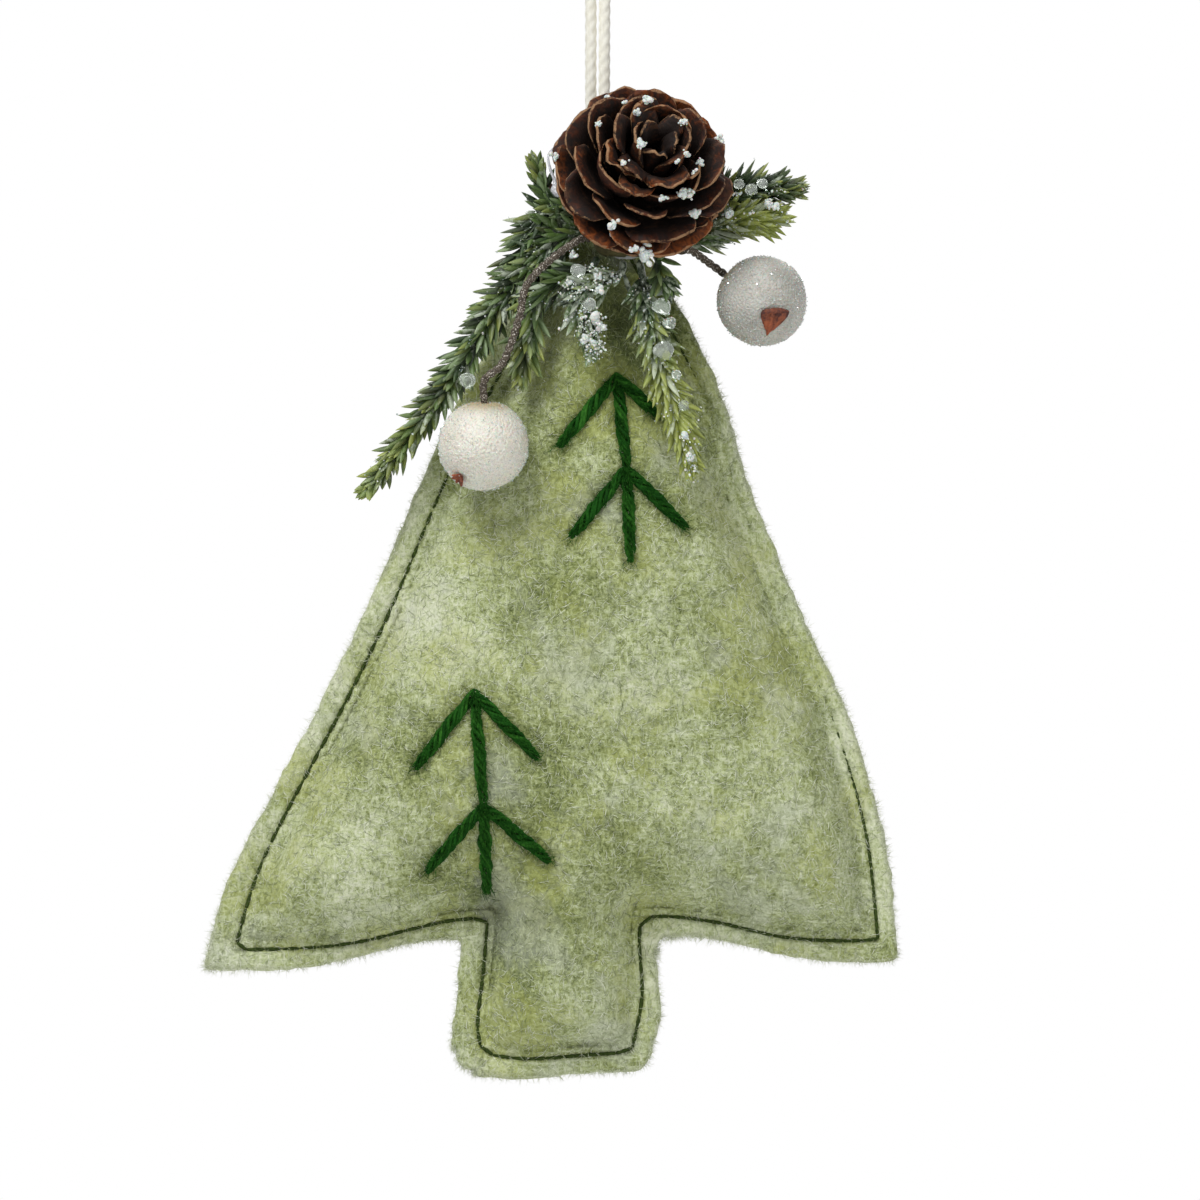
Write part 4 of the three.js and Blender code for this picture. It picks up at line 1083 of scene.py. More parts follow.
def makeEmbroidery(settings):
    finish = flossFinish(settings)
    for tree in settings["trees"]:
        heap = Heap()
        ends = stitchEnds(tree)
        for k, (start, end) in enumerate(ends):
            flossStitch(heap, start, end, settings, 0.0 if k < len(tree["stems"]) else settings["over"])
        loose = np.concatenate([flossFuzz(start, end, settings) for start, end in ends], 1)
        fibreBodies(heap, loose, settings["fuzzRadius"], dice.random(loose.shape[1]))
        dress(heap.piece(tree["name"] + "_stitches"), finish, "tree", "floss", tree["name"])


makeEmbroidery(flossSettings)
print("little trees embroidered")


# where the trim sits: the binding's middle, with the cone, sprigs and berries placed from it

bindingSettings = {
    "place": (4.4, -8.8, -6.8),
    "length": 10.5,
    "radius": 2.4,
    "tapeWidth": 2.6,
    "sides": 30,
    "lead": 1.8,  # each stem leaves the binding straight for this far
    "gap": 0.3,
    "scale": 50.0,
    "dark": srgb(58, 54, 28),
    "light": srgb(104, 98, 60),
}
bindingPlace = np.array(bindingSettings["place"])


def fromBinding(shares):
    return bindingPlace + np.array(shares, float) * bindingSettings["scale"]


def stemRoute(along, way, shares, thick, pitch, ends=()):
    # from the binding's side, at a share of its length, by the shares' places to the ends
    s = bindingSettings
    out = unit(way)
    seat = out.copy()
    if abs(along) < 1:
        seat[0] = 0
    root = bindingPlace + unit(seat) * (s["radius"] + (s["gap"] + thick))
    root[0] += (s["length"] / 2 - s["radius"]) * along
    return smoothRoute([root, root + out * s["lead"], *map(fromBinding, shares), *ends], pitch)


# pine cone

coneSettings = {
    "radius": 12.0,
    "height": 12.2,
    "back": 5.4,
    "place": (1.75, -3.4, 9.05),  # from the binding's middle
    "tilt": 24.5,
    "turn": 13.0,
    "scales": 50,
    "width": 9.6,
    "thickness": 0.7,
    "start": 4,
    "span": 108,
    "crowding": 1.05,
    "steep": 0.68,
    "closing": 6,
    "stub": 3.6,  # how far from its axis the widest scales start
    "low": 4.6,
    "longest": 13.0,
    "outline": ((0, 0.25, 0.5, 0.75, 0.9, 1), (0.3, 0.58, 0.84, 1, 1, 0.93)),  # a scale's width along it
    "core": (  # shares of the height or the back, and the radius there
        (-1, 2.6), (-0.95, 3.9), (-0.5, 4.5), (0, 4.5), (0.22, 3.8), (0.42, 2.1), (0.5, 0.5),
    ),
    "dark": srgb(20, 9, 5),
    "brown": srgb(84, 38, 16),
    "orange": srgb(160, 84, 34),
    "rim": srgb(170, 132, 96),
    "bloom": srgb(112, 76, 52),
}


def coneFinish(settings):
    s = settings
    finish = Finish("coneWood", Roughness=0.7, Specular_IOR_Level=0.3)
    streaks = finish.grain(1.1, 4, 0.6, warp=0.8)
    patches = finish.grain(4.5, 3)
    edge = finish.attribute("edge")
    depth = finish.attribute("depth")
    tone = streaks * 0.45 + patches * 0.3 + finish.attribute("tone") * 0.35
    wood = finish.ramp(tone, (0.28, s["dark"]), (0.48, s["brown"]), (0.67, s["orange"]))
    # partly the scales' own darker inner wood, partly painted shade: the wood goes dark where depth is low,
    # deep between the scales
    wood = finish.mix((depth + (streaks - 0.5) * 0.7).above(0.76, 0.26), s["dark"], wood)
    bloom = finish.grain(2.4, 4, 0.65).above(0.6, 0.08)
    wood = finish.mix(bloom * 0.3, wood, s["bloom"])
    rim = (edge + (finish.grain(0.7, 4, 0.75) - 0.5) * 1.7 + (patches - 0.5) * 1.4).above(0.92, 0.16)
    finish.feed(Base_Color=finish.mix(rim * 0.8, wood, s["rim"]))
    finish.bump(streaks * 0.7 + patches * 0.3, 0.25, 0.7)
    return finish


def coneScaleShape():
    # one scale as a flat leaf, across -1 to 1 and along 0 to 1, with finer rows towards its edges
    nothingSelected()
    bpy.ops.mesh.primitive_grid_add(x_subdivisions=12, y_subdivisions=14, size=2)
    leaf = bpy.context.object
    for vertex in leaf.data.vertices:
        across, along = vertex.co.x, (vertex.co.y + 1) / 2
        across = math.copysign(1 - (1 - abs(across)) ** 1.5, across)
        vertex.co = (across, 1 - (1 - along) ** 1.7, 0)
    solid = leaf.modifiers.new("thick", "SOLIDIFY")
    solid.thickness = 1
    solid.offset = 0
    return shapeOf(leaf)


def coneTurn(settings):
    tilt, turn = math.radians(settings["tilt"]), math.radians(settings["turn"])
    axis = Vector((math.sin(turn) * math.cos(tilt), -math.cos(turn) * math.cos(tilt), math.sin(tilt)))
    return np.array(Vector((0, 0, 1)).rotation_difference(axis).to_matrix())


def scaleLine(share, settings):
    # a scale beside the cone's axis: its root, the way it leans, its length, and how far out it faces
    s = settings
    polar = math.radians(s["start"] + s["span"] * share ** s["crowding"])
    tipHeight = (s["height"] if math.cos(polar) > 0 else s["back"]) * math.cos(polar)
    tip = np.array([s["radius"] * math.sin(polar), tipHeight])
    rootOut = min(s["stub"], 0.5 * tip[0])
    steepest = math.atan2(tip[0] - rootOut, tip[1] + s["low"])
    lean = max(polar * s["steep"] - math.radians(s["closing"]), steepest)
    length = min(s["longest"], (tip[0] - rootOut) / max(math.sin(lean), 0.01))
    way = np.array([math.sin(lean), math.cos(lean)])
    return tip - way * length, way, length, math.sin(polar)


def coneScale(index, leaf, settings):
    # one scale round the cone's axis: the leaf leaned, cupped, nicked and curled
    s = settings
    across, along, face = leaf.T
    share = (index + 0.5) / s["scales"]
    root, way, length, outward = scaleLine(share, s)
    half = s["width"] / 2 * (0.36 + 0.64 * outward) * (1 + 0.13 * dice.normal())
    turn = index * math.pi * (3 - math.sqrt(5)) + 0.12 * dice.normal()
    twist = 0.13 * dice.normal() * outward
    widths = np.interp(along, *s["outline"])
    nicks = lump(np.stack([across * 7, np.full(len(across), index * 5.3), face], -1), 1)
    ragged = lump(np.stack([across * 2.2, along * 3, np.full(len(across), index * 3.1)], -1), 1)
    sideways = across * across
    corner = 0.06 * sideways + 0.12 * sideways ** 3
    reach = length * along * (1 - corner * along) + ragged * 0.75 * along ** 3
    reach = reach + 0.3 * dice.normal() * along ** 2 + 0.55 * nicks * along ** 10
    cup = half * (0.42 - 0.2 * share) * (1 + 0.35 * dice.normal()) * sideways * widths
    cup = cup + 0.5 * ragged * along + twist * across * half * along
    bow = -0.5 * np.sin(math.pi * along)
    lip = -length * (0.09 + 0.05 * dice.normal()) * np.clip((along - 0.72) / 0.28, 0, 1) ** 2
    thin = s["thickness"] * (1 - 0.5 * along ** 3) * (1 - 0.5 * sideways ** 3)
    rise = cup + bow + lip + face * thin
    out = root[0] + way[0] * reach - way[1] * rise
    up = root[1] + way[1] * reach + way[0] * rise
    side = across * half * widths
    cos, sin = math.cos(turn), math.sin(turn)
    return np.stack([out * cos - side * sin, out * sin + side * cos, up], -1), share


def makeCone(settings):
    s = settings
    leaf, tris = coneScaleShape()
    across, along, face = leaf.T
    turnTable = coneTurn(s).T
    middle = bindingPlace + np.array(s["place"])
    rim = np.maximum(np.abs(across) ** 40, along ** 55) * (0.2 + 0.8 * along)
    heap = Heap()
    tips = []
    for index in range(s["scales"]):
        points, share = coneScale(index, leaf, s)
        points = points @ turnTable + middle
        # painted shade deep in the cone, partly the scales' own darker inner wood: low towards each scale's
        # root and on one face, lower on the young middle scales
        deep = np.where(face > 0, along ** 2 * 0.85, 0.25 + 0.75 * along) * (0.8 + 0.2 * share)
        young = 0.5 * math.exp(-index / 7)
        heap.put(points, tris, edge=rim, depth=deep * (1 - 0.5 * young), tone=dice.random() * 0.8 + young)
        tips.append(points[along > 0.93])
    core, tris = shapeOf(spindle(14, [
        (share * (s["height"] if share > 0 else s["back"]), radius, radius) for share, radius in s["core"]
    ]))
    # the core takes the darkest painted shade
    heap.put(core @ turnTable + middle, tris, edge=0, depth=0.1, tone=0.3)
    dress(heap.piece("cone_scales"), coneFinish(s), "tree", "cone", "pine_cone")
    return tips


coneTips = makeCone(coneSettings)
print("pine cone made")


# artificial snow and glitter

snowSettings = {
    "crumbs": 4,  # how many different grains there are
    "roughness": 0.09,
    "white": srgb(244, 244, 239),
    "shade": srgb(214, 218, 211),
}


def snowFinish(settings):
    finish = Finish("snowFlock", Roughness=0.5, Subsurface_Weight=0.25, Subsurface_Scale=0.001)
    specks = finish.grain(0.35, 3, 0.7)
    return finish.paint(specks, (0.35, settings["shade"]), (0.6, settings["white"]), relief=(0.1, 0.7))


snowFlock = snowFinish(snowSettings)


def crumbShape(seed):
    # a lumpy grain of snow, about one across
    nothingSelected()
    bpy.ops.mesh.primitive_ico_sphere_add(subdivisions=2, radius=0.5)
    grain = bpy.context.object
    bpy.ops.object.mode_set(mode="EDIT")
    bpy.ops.mesh.select_all(action="SELECT")
    bpy.ops.transform.vertex_random(offset=snowSettings["roughness"], seed=seed)
    bpy.ops.object.mode_set(mode="OBJECT")
    return shapeOf(grain)


crumbs = [crumbShape(seed) for seed in range(snowSettings["crumbs"])]


def randomTurns(count, sizes):
    # random rotations, each with its own size and a little flattening
    w, x, y, z = unit(dice.normal(size=(count, 4))).T
    turn = np.stack([
        np.stack([1 - 2 * (y * y + z * z), 2 * (x * y - z * w), 2 * (x * z + y * w)], -1),
        np.stack([2 * (x * y + z * w), 1 - 2 * (x * x + z * z), 2 * (y * z - x * w)], -1),
        np.stack([2 * (x * z - y * w), 2 * (y * z + x * w), 1 - 2 * (x * x + y * y)], -1),
    ], 1)
    squash = np.stack([np.ones(count), 0.7 + 0.3 * dice.random(count), 0.45 + 0.4 * dice.random(count)], -1)
    return turn * (squash * np.asarray(sizes)[:, None])[:, None]


def sprinkle(heap, places, sizes):
    places = np.asarray(places, float)
    kinds = dice.integers(0, len(crumbs), len(places))
    turns = randomTurns(len(places), sizes)
    for kind, shape in enumerate(crumbs):
        chosen = kinds == kind
        if chosen.any():
            copies(heap, shape, turns[chosen], places[chosen])


coneSnow = (
    # x, z from the cone's middle as its front shows it, and size
    (0.6, 10.6, 1.5), (-0.7, 8.2, 1.3), (-5.8, 6.8, 1.3), (0.9, 4.2, 1.7), (5.9, 7.1, 1.3), (5.5, -3.1, 1.6),
    (2.7, -3.8, 1.2), (-4.7, -7.6, 1.3), (0.8, -11.2, 2.4), (-1.4, -10.6, 1.4), (9.4, 2.1, 1.4),
)


def makeConeSnow():
    places, sizes = [], []
    shown = np.vstack(coneTips)
    middle = bindingPlace + np.array(coneSettings["place"])
    for x, z, size in coneSnow:  # a clump of a dozen grains on the nearest scale's tip
        apart = np.hypot(shown[:, 0] - middle[0] - x, shown[:, 2] - middle[2] - z) + 0.12 * shown[:, 1]
        spot = shown[apart.argmin()] - (0, 0.3, 0)
        places.extend(spot + dice.normal(0, size * 0.2, (12, 3)) * (1, 0.5, 1))
        sizes.extend(size * (0.25 + 0.45 * dice.random(12)))
    for points in coneTips:  # and a few stray grains on one scale in four
        if dice.random() < 0.25:
            spot = points[dice.integers(0, len(points))]
            count = dice.integers(2, 7)
            places.extend(spot + dice.normal(0, 0.32, (count, 3)))
            sizes.extend(0.35 + 0.75 * dice.random(count))
    heap = Heap()
    sprinkle(heap, places, sizes)
    dress(heap.piece("cone_snow"), snowFlock, "tree", "glue")


makeConeSnow()


# needle sprigs

sprigSettings = {
    "stem": 1.1,
    "broad": 1.02,
    "thick": 0.36,
    "lean": 41.0,
    "close": 0.42,  # how far the needles close up towards the stem's tip
    "rows": (-88, 80, -50, 46, 6, -70, 62, -22, 28, 160, -130),  # turns round the stem, 0 to the viewer
    "spacing": 0.2,
    "tuft": 6,  # needles that end the stem
    "fork": 0.08,  # where the twigs leave the stem
    "clear": 0.5,  # a needle's least height over the felt
    "near": 4.5,  # which it keeps this far past the seam too
    "stray": (15, 8, 0.45),  # how much its turn and its lean differ, in degrees, and its roll
    "taper": 0.35,
    "shadow": srgb(24, 38, 16),
    "dark": srgb(44, 66, 32),
    "mid": srgb(84, 110, 50),
    "blue": srgb(132, 152, 112),
    "tip": srgb(160, 170, 80),
    "frost": srgb(196, 206, 186),
}
sprigs = (
    # the route's places are shares from the binding; fresh is how yellow the young needles are,
    # and dim how much darker than the others the sprig may be
    {
        "name": "sprig_long_left", "along": -1, "way": (-0.93, 0.25, 0.25),
        "route": ((-0.348, 0.04, -0.154), (-0.508, 0.05, -0.404), (-0.727, 0.05, -0.69)),
        "bare": 0.0, "needle": 4.7, "fresh": 0.4, "frost": 0.55, "dense": 1.35, "spread": 1.2,
        "twigs": (
            ((-0.225, 0.05, 0.085), (-0.29, 0.055, -0.005), (-0.352, 0.055, -0.15)),
            ((-0.2, 0.03, 0.03), (-0.245, 0.04, -0.06), (-0.3, 0.045, -0.16)),
        ),
    },
    {
        "name": "sprig_inner_left", "along": -1, "way": (-0.5, -0.35, -0.8),
        "route": ((-0.248, -0.01, -0.154), (-0.283, -0.02, -0.264), (-0.303, -0.02, -0.369)),
        "bare": 0.1, "needle": 5.2, "fresh": 0.4, "frost": 0.35, "dense": 1.25, "spread": 1.1,
    },
    {
        "name": "sprig_snowy_centre", "along": -0.3, "way": (-0.1, -0.35, -0.93),
        "route": ((-0.138, -0.06, -0.154), (-0.123, -0.065, -0.234), (-0.108, -0.08, -0.304)),
        "bare": 0.1, "needle": 4.4, "fresh": 0.1, "frost": 1.2, "dense": 1.7,
    },
    {
        "name": "sprig_right_front", "along": 0.5, "way": (0.2, -0.3, -0.93),
        "route": ((0.052, -0.04, -0.204), (0.107, -0.05, -0.414), (0.172, -0.06, -0.629)),
        "bare": 0.08, "needle": 4.9, "fresh": 2.0, "frost": 0.9, "dense": 1.4,
    },
    {
        "name": "sprig_under_cone", "along": 1, "way": (0.25, -0.75, -0.6),
        "route": ((0.09, -0.09, -0.094), (0.1, -0.1, -0.124)),
        "bare": 0.2, "needle": 4.4, "fresh": 0.1, "frost": 0.1,
    },
    {
        "name": "sprig_right_upper", "along": 1, "way": (0.5, 0.45, 0.74),
        "route": ((0.172, 0.075, 0.086), (0.322, 0.05, 0.137), (0.446, 0.03, 0.142)),
        "bare": 0.08, "needle": 5.8, "fresh": 0.3, "frost": 0.5, "dense": 2.2, "dim": 0.75,
    },
    {
        "name": "sprig_right_lower", "along": 1, "way": (0.97, 0.2, 0.05),
        "route": ((0.202, 0.05, 0.026), (0.312, 0.035, 0.058), (0.402, 0.02, 0.062)),
        "bare": 0.08, "needle": 5.8, "fresh": 1.7, "frost": 1.1, "dense": 2.0, "dim": 0.32,
    },
    {
        "name": "sprig_top_left", "along": -1, "way": (-0.6, 0.1, 0.8),
        "route": ((-0.218, 0.02, 0.106), (-0.263, 0.02, 0.211)),
        "bare": 0.15, "needle": 3.8, "fresh": 0.3, "frost": 0.15,
    },
)


def needleFinish(settings):
    s = settings
    finish = Finish("needles", Roughness=0.5, Coat_Weight=0.15, Coat_Roughness=0.35)
    streak = finish.grain(0.7, 3, 0.6)
    tone = finish.attribute("tone") * 0.85 + streak * 0.35 + finish.attribute("far") * 0.3 - 0.28
    green = finish.ramp(tone, (0.1, s["shadow"]), (0.32, s["dark"]), (0.58, s["mid"]), (0.88, s["blue"]))
    age = finish.attribute("age") * (finish.attribute("far") * 0.7 + 0.3)
    green = finish.mix(age.above(0.42, 0.3) * 0.85, green, s["tip"])
    dust = (finish.grain(0.9, 4, 0.7) + finish.attribute("snow") * 0.2).above(0.74, 0.1)
    finish.feed(Base_Color=finish.mix(dust * 0.75, green, s["frost"]))
    finish.bump(streak, 0.12, 0.6)
    return finish


needleGreen = needleFinish(sprigSettings)
needleShape = shapeOf(spindle(6, [
    (0, 0.35, 0.6), (0.1, 0.5, 0.8), (0.3, 0.85, 1), (0.5, 1, 1),
    (0.72, 0.8, 0.8), (0.9, 0.36, 0.45), (1, 0.04, 0.06),
]))
sprigSpots = {}  # where each sprig's needles are, for the snow on them


def needlesAlong(route, bare, sprig, settings):
    # each needle as its place, its way, the way its blade is broad, its length and its share of the stem
    s = settings
    length = lengthsAlong(route)
    turnStray, leanStray, rollStray = s["stray"]
    tangents, fronts, sides = framesAlong(route)
    count = round(length[-1] * (1 - bare) * sprig.get("dense", 1) / s["spacing"])
    found = []
    for k in range(count + s["tuft"]):
        share = min(0.995, bare + (1 - bare) * k / count)
        at = share * length[-1] + dice.normal(0, 0.15)
        index = min(np.searchsorted(length, at), len(route) - 1)
        turn = math.radians(s["rows"][k % len(s["rows"])] + dice.normal(0, turnStray))
        outward = fronts[index] * math.cos(turn) + sides[index] * math.sin(turn)
        upper = math.exp(-(turn / 0.6) ** 2)
        lean = s["lean"] * sprig.get("spread", 1) * (1 - 0.3 * upper)
        lean = math.radians(lean + dice.normal(0, leanStray))
        lean *= 1 - s["close"] * share ** 3
        if k >= count:
            lean *= 0.45
        way = unit(tangents[index] * math.cos(lean) + outward * math.sin(lean))
        broad = unit(np.cross(way, fronts[index]))
        roll = dice.normal(0, rollStray)
        broad = broad * math.cos(roll) + np.cross(way, broad) * math.sin(roll)
        reach = sprig["needle"] * (0.65 + 0.5 * dice.random()) * (1 - 0.5 * share ** 8)
        found.append((route[index], way, broad, reach, share))
    return found


def growStem(heap, route, bare, sprig, settings):
    # a bent stem with its needles, which are kept over the felt
    s = settings
    radii = np.full((len(route), 7), s["stem"] / 2) * roundEnds(route, 0.5)[:, None]
    radii *= 1 - s["taper"] * np.linspace(0, 1, len(route))[:, None]
    heap.put(*sweep(route, radii), tone=0.35, far=0, age=0, snow=sprig["frost"])
    needles = needlesAlong(route, bare, sprig, s)
    tips = np.array([place + way * reach for place, way, _, reach, _ in needles])
    flat = tips[:, [0, 2]]
    floor = -faceDepth(flat) - s["clear"]
    onFelt = (nearestSeam(flat)[0] < s["near"]) | (puff(flat) > 0)
    blade, tris = needleShape
    for k, (place, way, broad, reach, share) in enumerate(needles):
        if onFelt[k] and tips[k, 1] > floor[k]:
            tips[k, 1] = floor[k] - dice.random() * 0.3
        way = unit(tips[k] - place)
        broad = unit(broad - way * (broad @ way))
        face = np.cross(way, broad)
        bow = 0.5 * (blade[:, 2] ** 2 - blade[:, 2]) * (1 + dice.normal(0, 0.4))
        local = (
            blade[:, :1] * broad * s["broad"] / 2 + blade[:, 1:2] * face * s["thick"] / 2
            + blade[:, 2:] * way * reach - bow[:, None] * face
        )
        age = sprig["fresh"] * share ** 1.5 + 0.5 * dice.random() ** 3
        snow = sprig["frost"] * (1 - 0.5 * share) + (dice.random() < 0.12)
        tone = dice.random() * (1 - sprig.get("dim", 0.12))
        heap.put(place + local, tris, tone=tone, far=blade[:, 2], age=age, snow=snow)
        sprigSpots[sprig["name"]].append((place, way, reach, share))


def makeSprig(sprig, settings):
    name = sprig["name"]
    sprigSpots[name] = []
    route = stemRoute(sprig["along"], sprig["way"], sprig["route"], settings["stem"] / 4, 0.4)
    heap = Heap()
    growStem(heap, route, sprig["bare"], sprig, settings)
    for twig in sprig.get("twigs", ()):
        fork = route[round(len(route) * settings["fork"])]
        growStem(heap, smoothRoute([fork, *map(fromBinding, twig)], 0.4), 0.0, sprig, settings)
    dress(heap.piece(name + "_needles"), needleGreen, "tree", "needles", name)


for sprig in sprigs:
    makeSprig(sprig, sprigSettings)
print("sprigs grown")


sprigSnow = {
    # number of grains and their size
    "sprig_snowy_centre": (400, 0.62), "sprig_right_front": (110, 0.5), "sprig_right_upper": (70, 0.55),
    "sprig_right_lower": (50, 0.6), "sprig_long_left": (50, 0.45), "sprig_inner_left": (24, 0.4),
}
snowLumps = (
    # x, y, z and size
    (-0.4, -13.7, -17.9, 2.1), (0.4, -13.5, -18.9, 1.6), (-1.9, -13.9, -20.8, 1.6), (-0.7, -13.8, -21.6, 1.3),
    (0.3, -13.2, -14.0, 1.2), (-0.1, -13.1, -11.8, 1.1), (-3.4, -12.6, -8.8, 1.2), (-3.9, -13.2, -13.0, 1.0),
    (12.2, -13.4, -34.3, 1.4), (12.8, -13.5, -37.2, 1.2), (9.9, -12.9, -18.3, 0.9), (11.2, -13.0, -26.2, 0.7),
    (25.1, -9.9, -1.8, 1.6), (24.0, -9.8, -2.0, 1.2), (18.5, -9.6, -2.9, 1.4), (19.6, -9.3, -0.3, 0.9),
)
iceDrops = (
    # x, y, z and radius
    (9.3, -13.3, -22.4, 1.45), (9.0, -12.9, -16.3, 1.3), (10.1, -12.9, -18.6, 0.9),
    (8.4, -12.6, -13.9, 1.0), (11.0, -13.3, -25.8, 0.7), (12.1, -13.5, -30.2, 0.8),
    (-1.2, -13.9, -16.0, 1.0), (-2.7, -13.4, -11.2, 1.1), (21.6, -9.8, 0.2, 0.9),
    (23.2, -9.8, 1.1, 0.8), (19.9, -9.6, 1.0, 0.8), (-18.3, -9.6, -26.5, 1.2),
)


def makeSprigSnow():
    for name, (count, size) in sprigSnow.items():
        places, sizes = [], []
        spots = sprigSpots[name]
        centres = dice.integers(0, len(spots), max(4, count // 7))
        for k in range(count):
            place, way, length, _ = spots[centres[k % len(centres)]]
            reach = 0.15 + 0.85 * dice.random()
            places.append(place + way * length * reach + dice.normal(0, 0.3, 3) + (0, -0.4, 0.2))
            sizes.append(size * (0.25 + 0.75 * dice.random() ** 2))
        heap = Heap()
        sprinkle(heap, places, sizes)
        dress(heap.piece(name + "_snow"), snowFlock, "tree", "glue")
    heap = Heap()
    for *place, size in snowLumps:
        sprinkle(heap, place + dice.normal(0, size * 0.18, (5, 3)), size * (0.45 + 0.4 * dice.random(5)))
        sprinkle(heap, place + dice.normal(0, size * 0.4, (9, 3)), 0.2 + 0.3 * dice.random(9))
    dress(heap.piece("snow_lumps"), snowFlock, "tree", "glue")


def makeIce():
    finish = Finish("ice", Roughness=0.08, Transmission_Weight=0.75, IOR=1.36)
    finish.paint(finish.grain(1.5, 2), (0.3, srgb(214, 224, 212)), (0.7, srgb(240, 245, 240)))
    nothingSelected()
    bpy.ops.mesh.primitive_ico_sphere_add(subdivisions=3, radius=1)
    ball, tris = shapeOf(bpy.context.object)
    heap = Heap()
    for x, y, z, radius in iceDrops:
        drop = ball * (radius + 0.25 * radius * lump(ball + x, 0.9))[:, None]
        heap.put(drop * (1, 0.7, 0.9) + (x, y, z), tris)
    dress(heap.piece("ice_drops"), finish, "tree", "glue")


makeSprigSnow()
makeIce()


glitterShine = Finish("glitter", Roughness=0.12, Metallic=0.35)
glitterShine.paint(glitterShine.attribute("tone"), (0, srgb(180, 196, 190)), (1, srgb(250, 252, 252)))
nothingSelected()
bpy.ops.mesh.primitive_cylinder_add(vertices=6, radius=0.5, depth=0.25)
flakeShape = shapeOf(bpy.context.object)
sprigGlitter = {
    "sprig_snowy_centre": 300, "sprig_right_front": 300, "sprig_right_upper": 160, "sprig_long_left": 150,
    "sprig_right_lower": 80, "sprig_inner_left": 40,
}


def flakes(name, body, slot, places, sizes):
    # flat-faced flakes of glitter, each its own way up and with its own brightness
    heap = Heap()
    turns = randomTurns(len(places), sizes)
    copies(heap, flakeShape, turns, places, tone=dice.random(len(places)))
    dress(heap.piece(name, smooth=False), glitterShine, body, slot)


def makeGlitter():
    for name, count in sprigGlitter.items():
        spots = sprigSpots[name]
        places = []
        for k in dice.integers(0, len(spots), count):
            place, way, length, _ = spots[k]
            places.append(place + way * length * dice.random() + (0, -0.5, 0.1) + dice.normal(0, 0.25, 3))
        flakes(name + "_glitter", "tree", "glue", places, 0.14 + 0.2 * dice.random(count))


makeGlitter()
print("snow and glitter scattered")


# frosted berries on wrapped wire

berrySettings = {
    "radius": 6.4,
    "grain": 0.13,
    "gap": 0.3,  # between the wire's end and the berry
    "sunk": 0.45,  # how far the calyx sits in the berry
    "dimples": ((0.8, 0.012), (0.55, 0.02)),  # depth and reach, at the wire and at the calyx
    "wire": 1.25,
    "fullness": 0.94,
    "plies": 2,
    "pitch": 2.3,
    "sides": 14,
    "groove": 0.34,  # between the plies, as a share of the radius
    "tipSunk": 0.9,  # how far the wire's end goes into the dimple
    "sparks": 1100,
    "white": srgb(244, 242, 232),
    "cream": srgb(230, 227, 212),
    "grey": srgb(176, 175, 167),
    "pearl": srgb(202, 201, 193),
    "stain": srgb(178, 160, 116),
    "calyx": srgb(158, 84, 50),
    "calyxDark": srgb(70, 30, 22),
    "wrap": srgb(98, 86, 70),
    "wrapDark": srgb(34, 28, 22),
}
berries = (
    # centre and route are shares from the binding; entry and calyx are the ways to the wire and to the calyx
    {
        "name": "left_berry", "along": -1, "way": (-0.72, -0.69, 0.02),
        "centre": (-0.408, -0.09, -0.579), "entry": (0.02, -0.1, 0.99), "calyx": (-0.54, -0.42, -0.73),
        "route": ((-0.283, -0.1, -0.124), (-0.308, -0.1, -0.224), (-0.358, -0.1, -0.354)),
        "warm": 1.0, "folded": False,
    },
    {
        "name": "right_berry", "along": 1, "way": (0.88, -0.35, -0.3),
        "centre": (0.374, -0.03, -0.172), "entry": (-0.78, 0.26, 0.57), "calyx": (0.23, -0.9, -0.37),
        "route": ((0.167, -0.045, -0.029),),
        "warm": 0.0, "folded": True,
    },
)


def berryFinish(name, settings, warm):
    s = settings
    finish = Finish(name, Roughness=0.42, Coat_Weight=0.2, Coat_Roughness=0.25)
    finish.feed(Subsurface_Weight=0.3, Subsurface_Scale=0.002)
    clouds = finish.grain(7, 3)
    sugar = finish.cells(0.34)
    speck = finish.grain(0.3, 2, 0.85)
    dark, light = (s["cream"], s["white"]) if warm else (s["grey"], s["pearl"])
    shade = finish.ramp(speck, (0.36, srgb(206, 202, 192)), (0.5, srgb(255, 255, 255)))
    skin = finish.ramp(clouds, (0.35, dark), (0.6, light))
    base = finish.mix(0.5 if warm else 0.6, skin, shade, "MULTIPLY")
    stain = (finish.attribute("stain") + (clouds - 0.5) * 0.8).above(0.5, 0.35)
    rough = sugar.above(0.35, 0.25) * 0.5 + 0.15
    finish.feed(Base_Color=finish.mix(stain * 0.85, base, s["stain"]), Roughness=rough)
    finish.bump(sugar * 0.8 + speck * 0.6, 0.14, 0.9)
    return finish


def wireFinish(settings):
    finish = Finish("wrappedWire", Roughness=0.6)
    fibres = finish.grain(0.4, 4, 0.75)
    sparks = finish.grain(0.2, 1, 0.5).above(0.63, 0.03)
    base = finish.ramp(fibres, (0.3, settings["wrapDark"]), (0.7, settings["wrap"]))
    finish.feed(Base_Color=finish.mix(sparks * 0.8, base, srgb(222, 216, 204)), Roughness=0.75 - sparks * 0.5)
    finish.bump(fibres, 0.1, 0.8)
    return finish


def calyxFinish(settings):
    finish = Finish("driedCalyx", Roughness=0.7)
    fibres = finish.grain(0.5, 4, 0.7)
    tone = fibres * 0.7 + finish.attribute("tone") * 0.3
    finish.paint(tone, (0.36, settings["calyxDark"]), (0.62, settings["calyx"]))
    finish.bump(fibres, 0.15, 0.9)
    return finish


wrappedWire = wireFinish(berrySettings)
driedCalyx = calyxFinish(berrySettings)


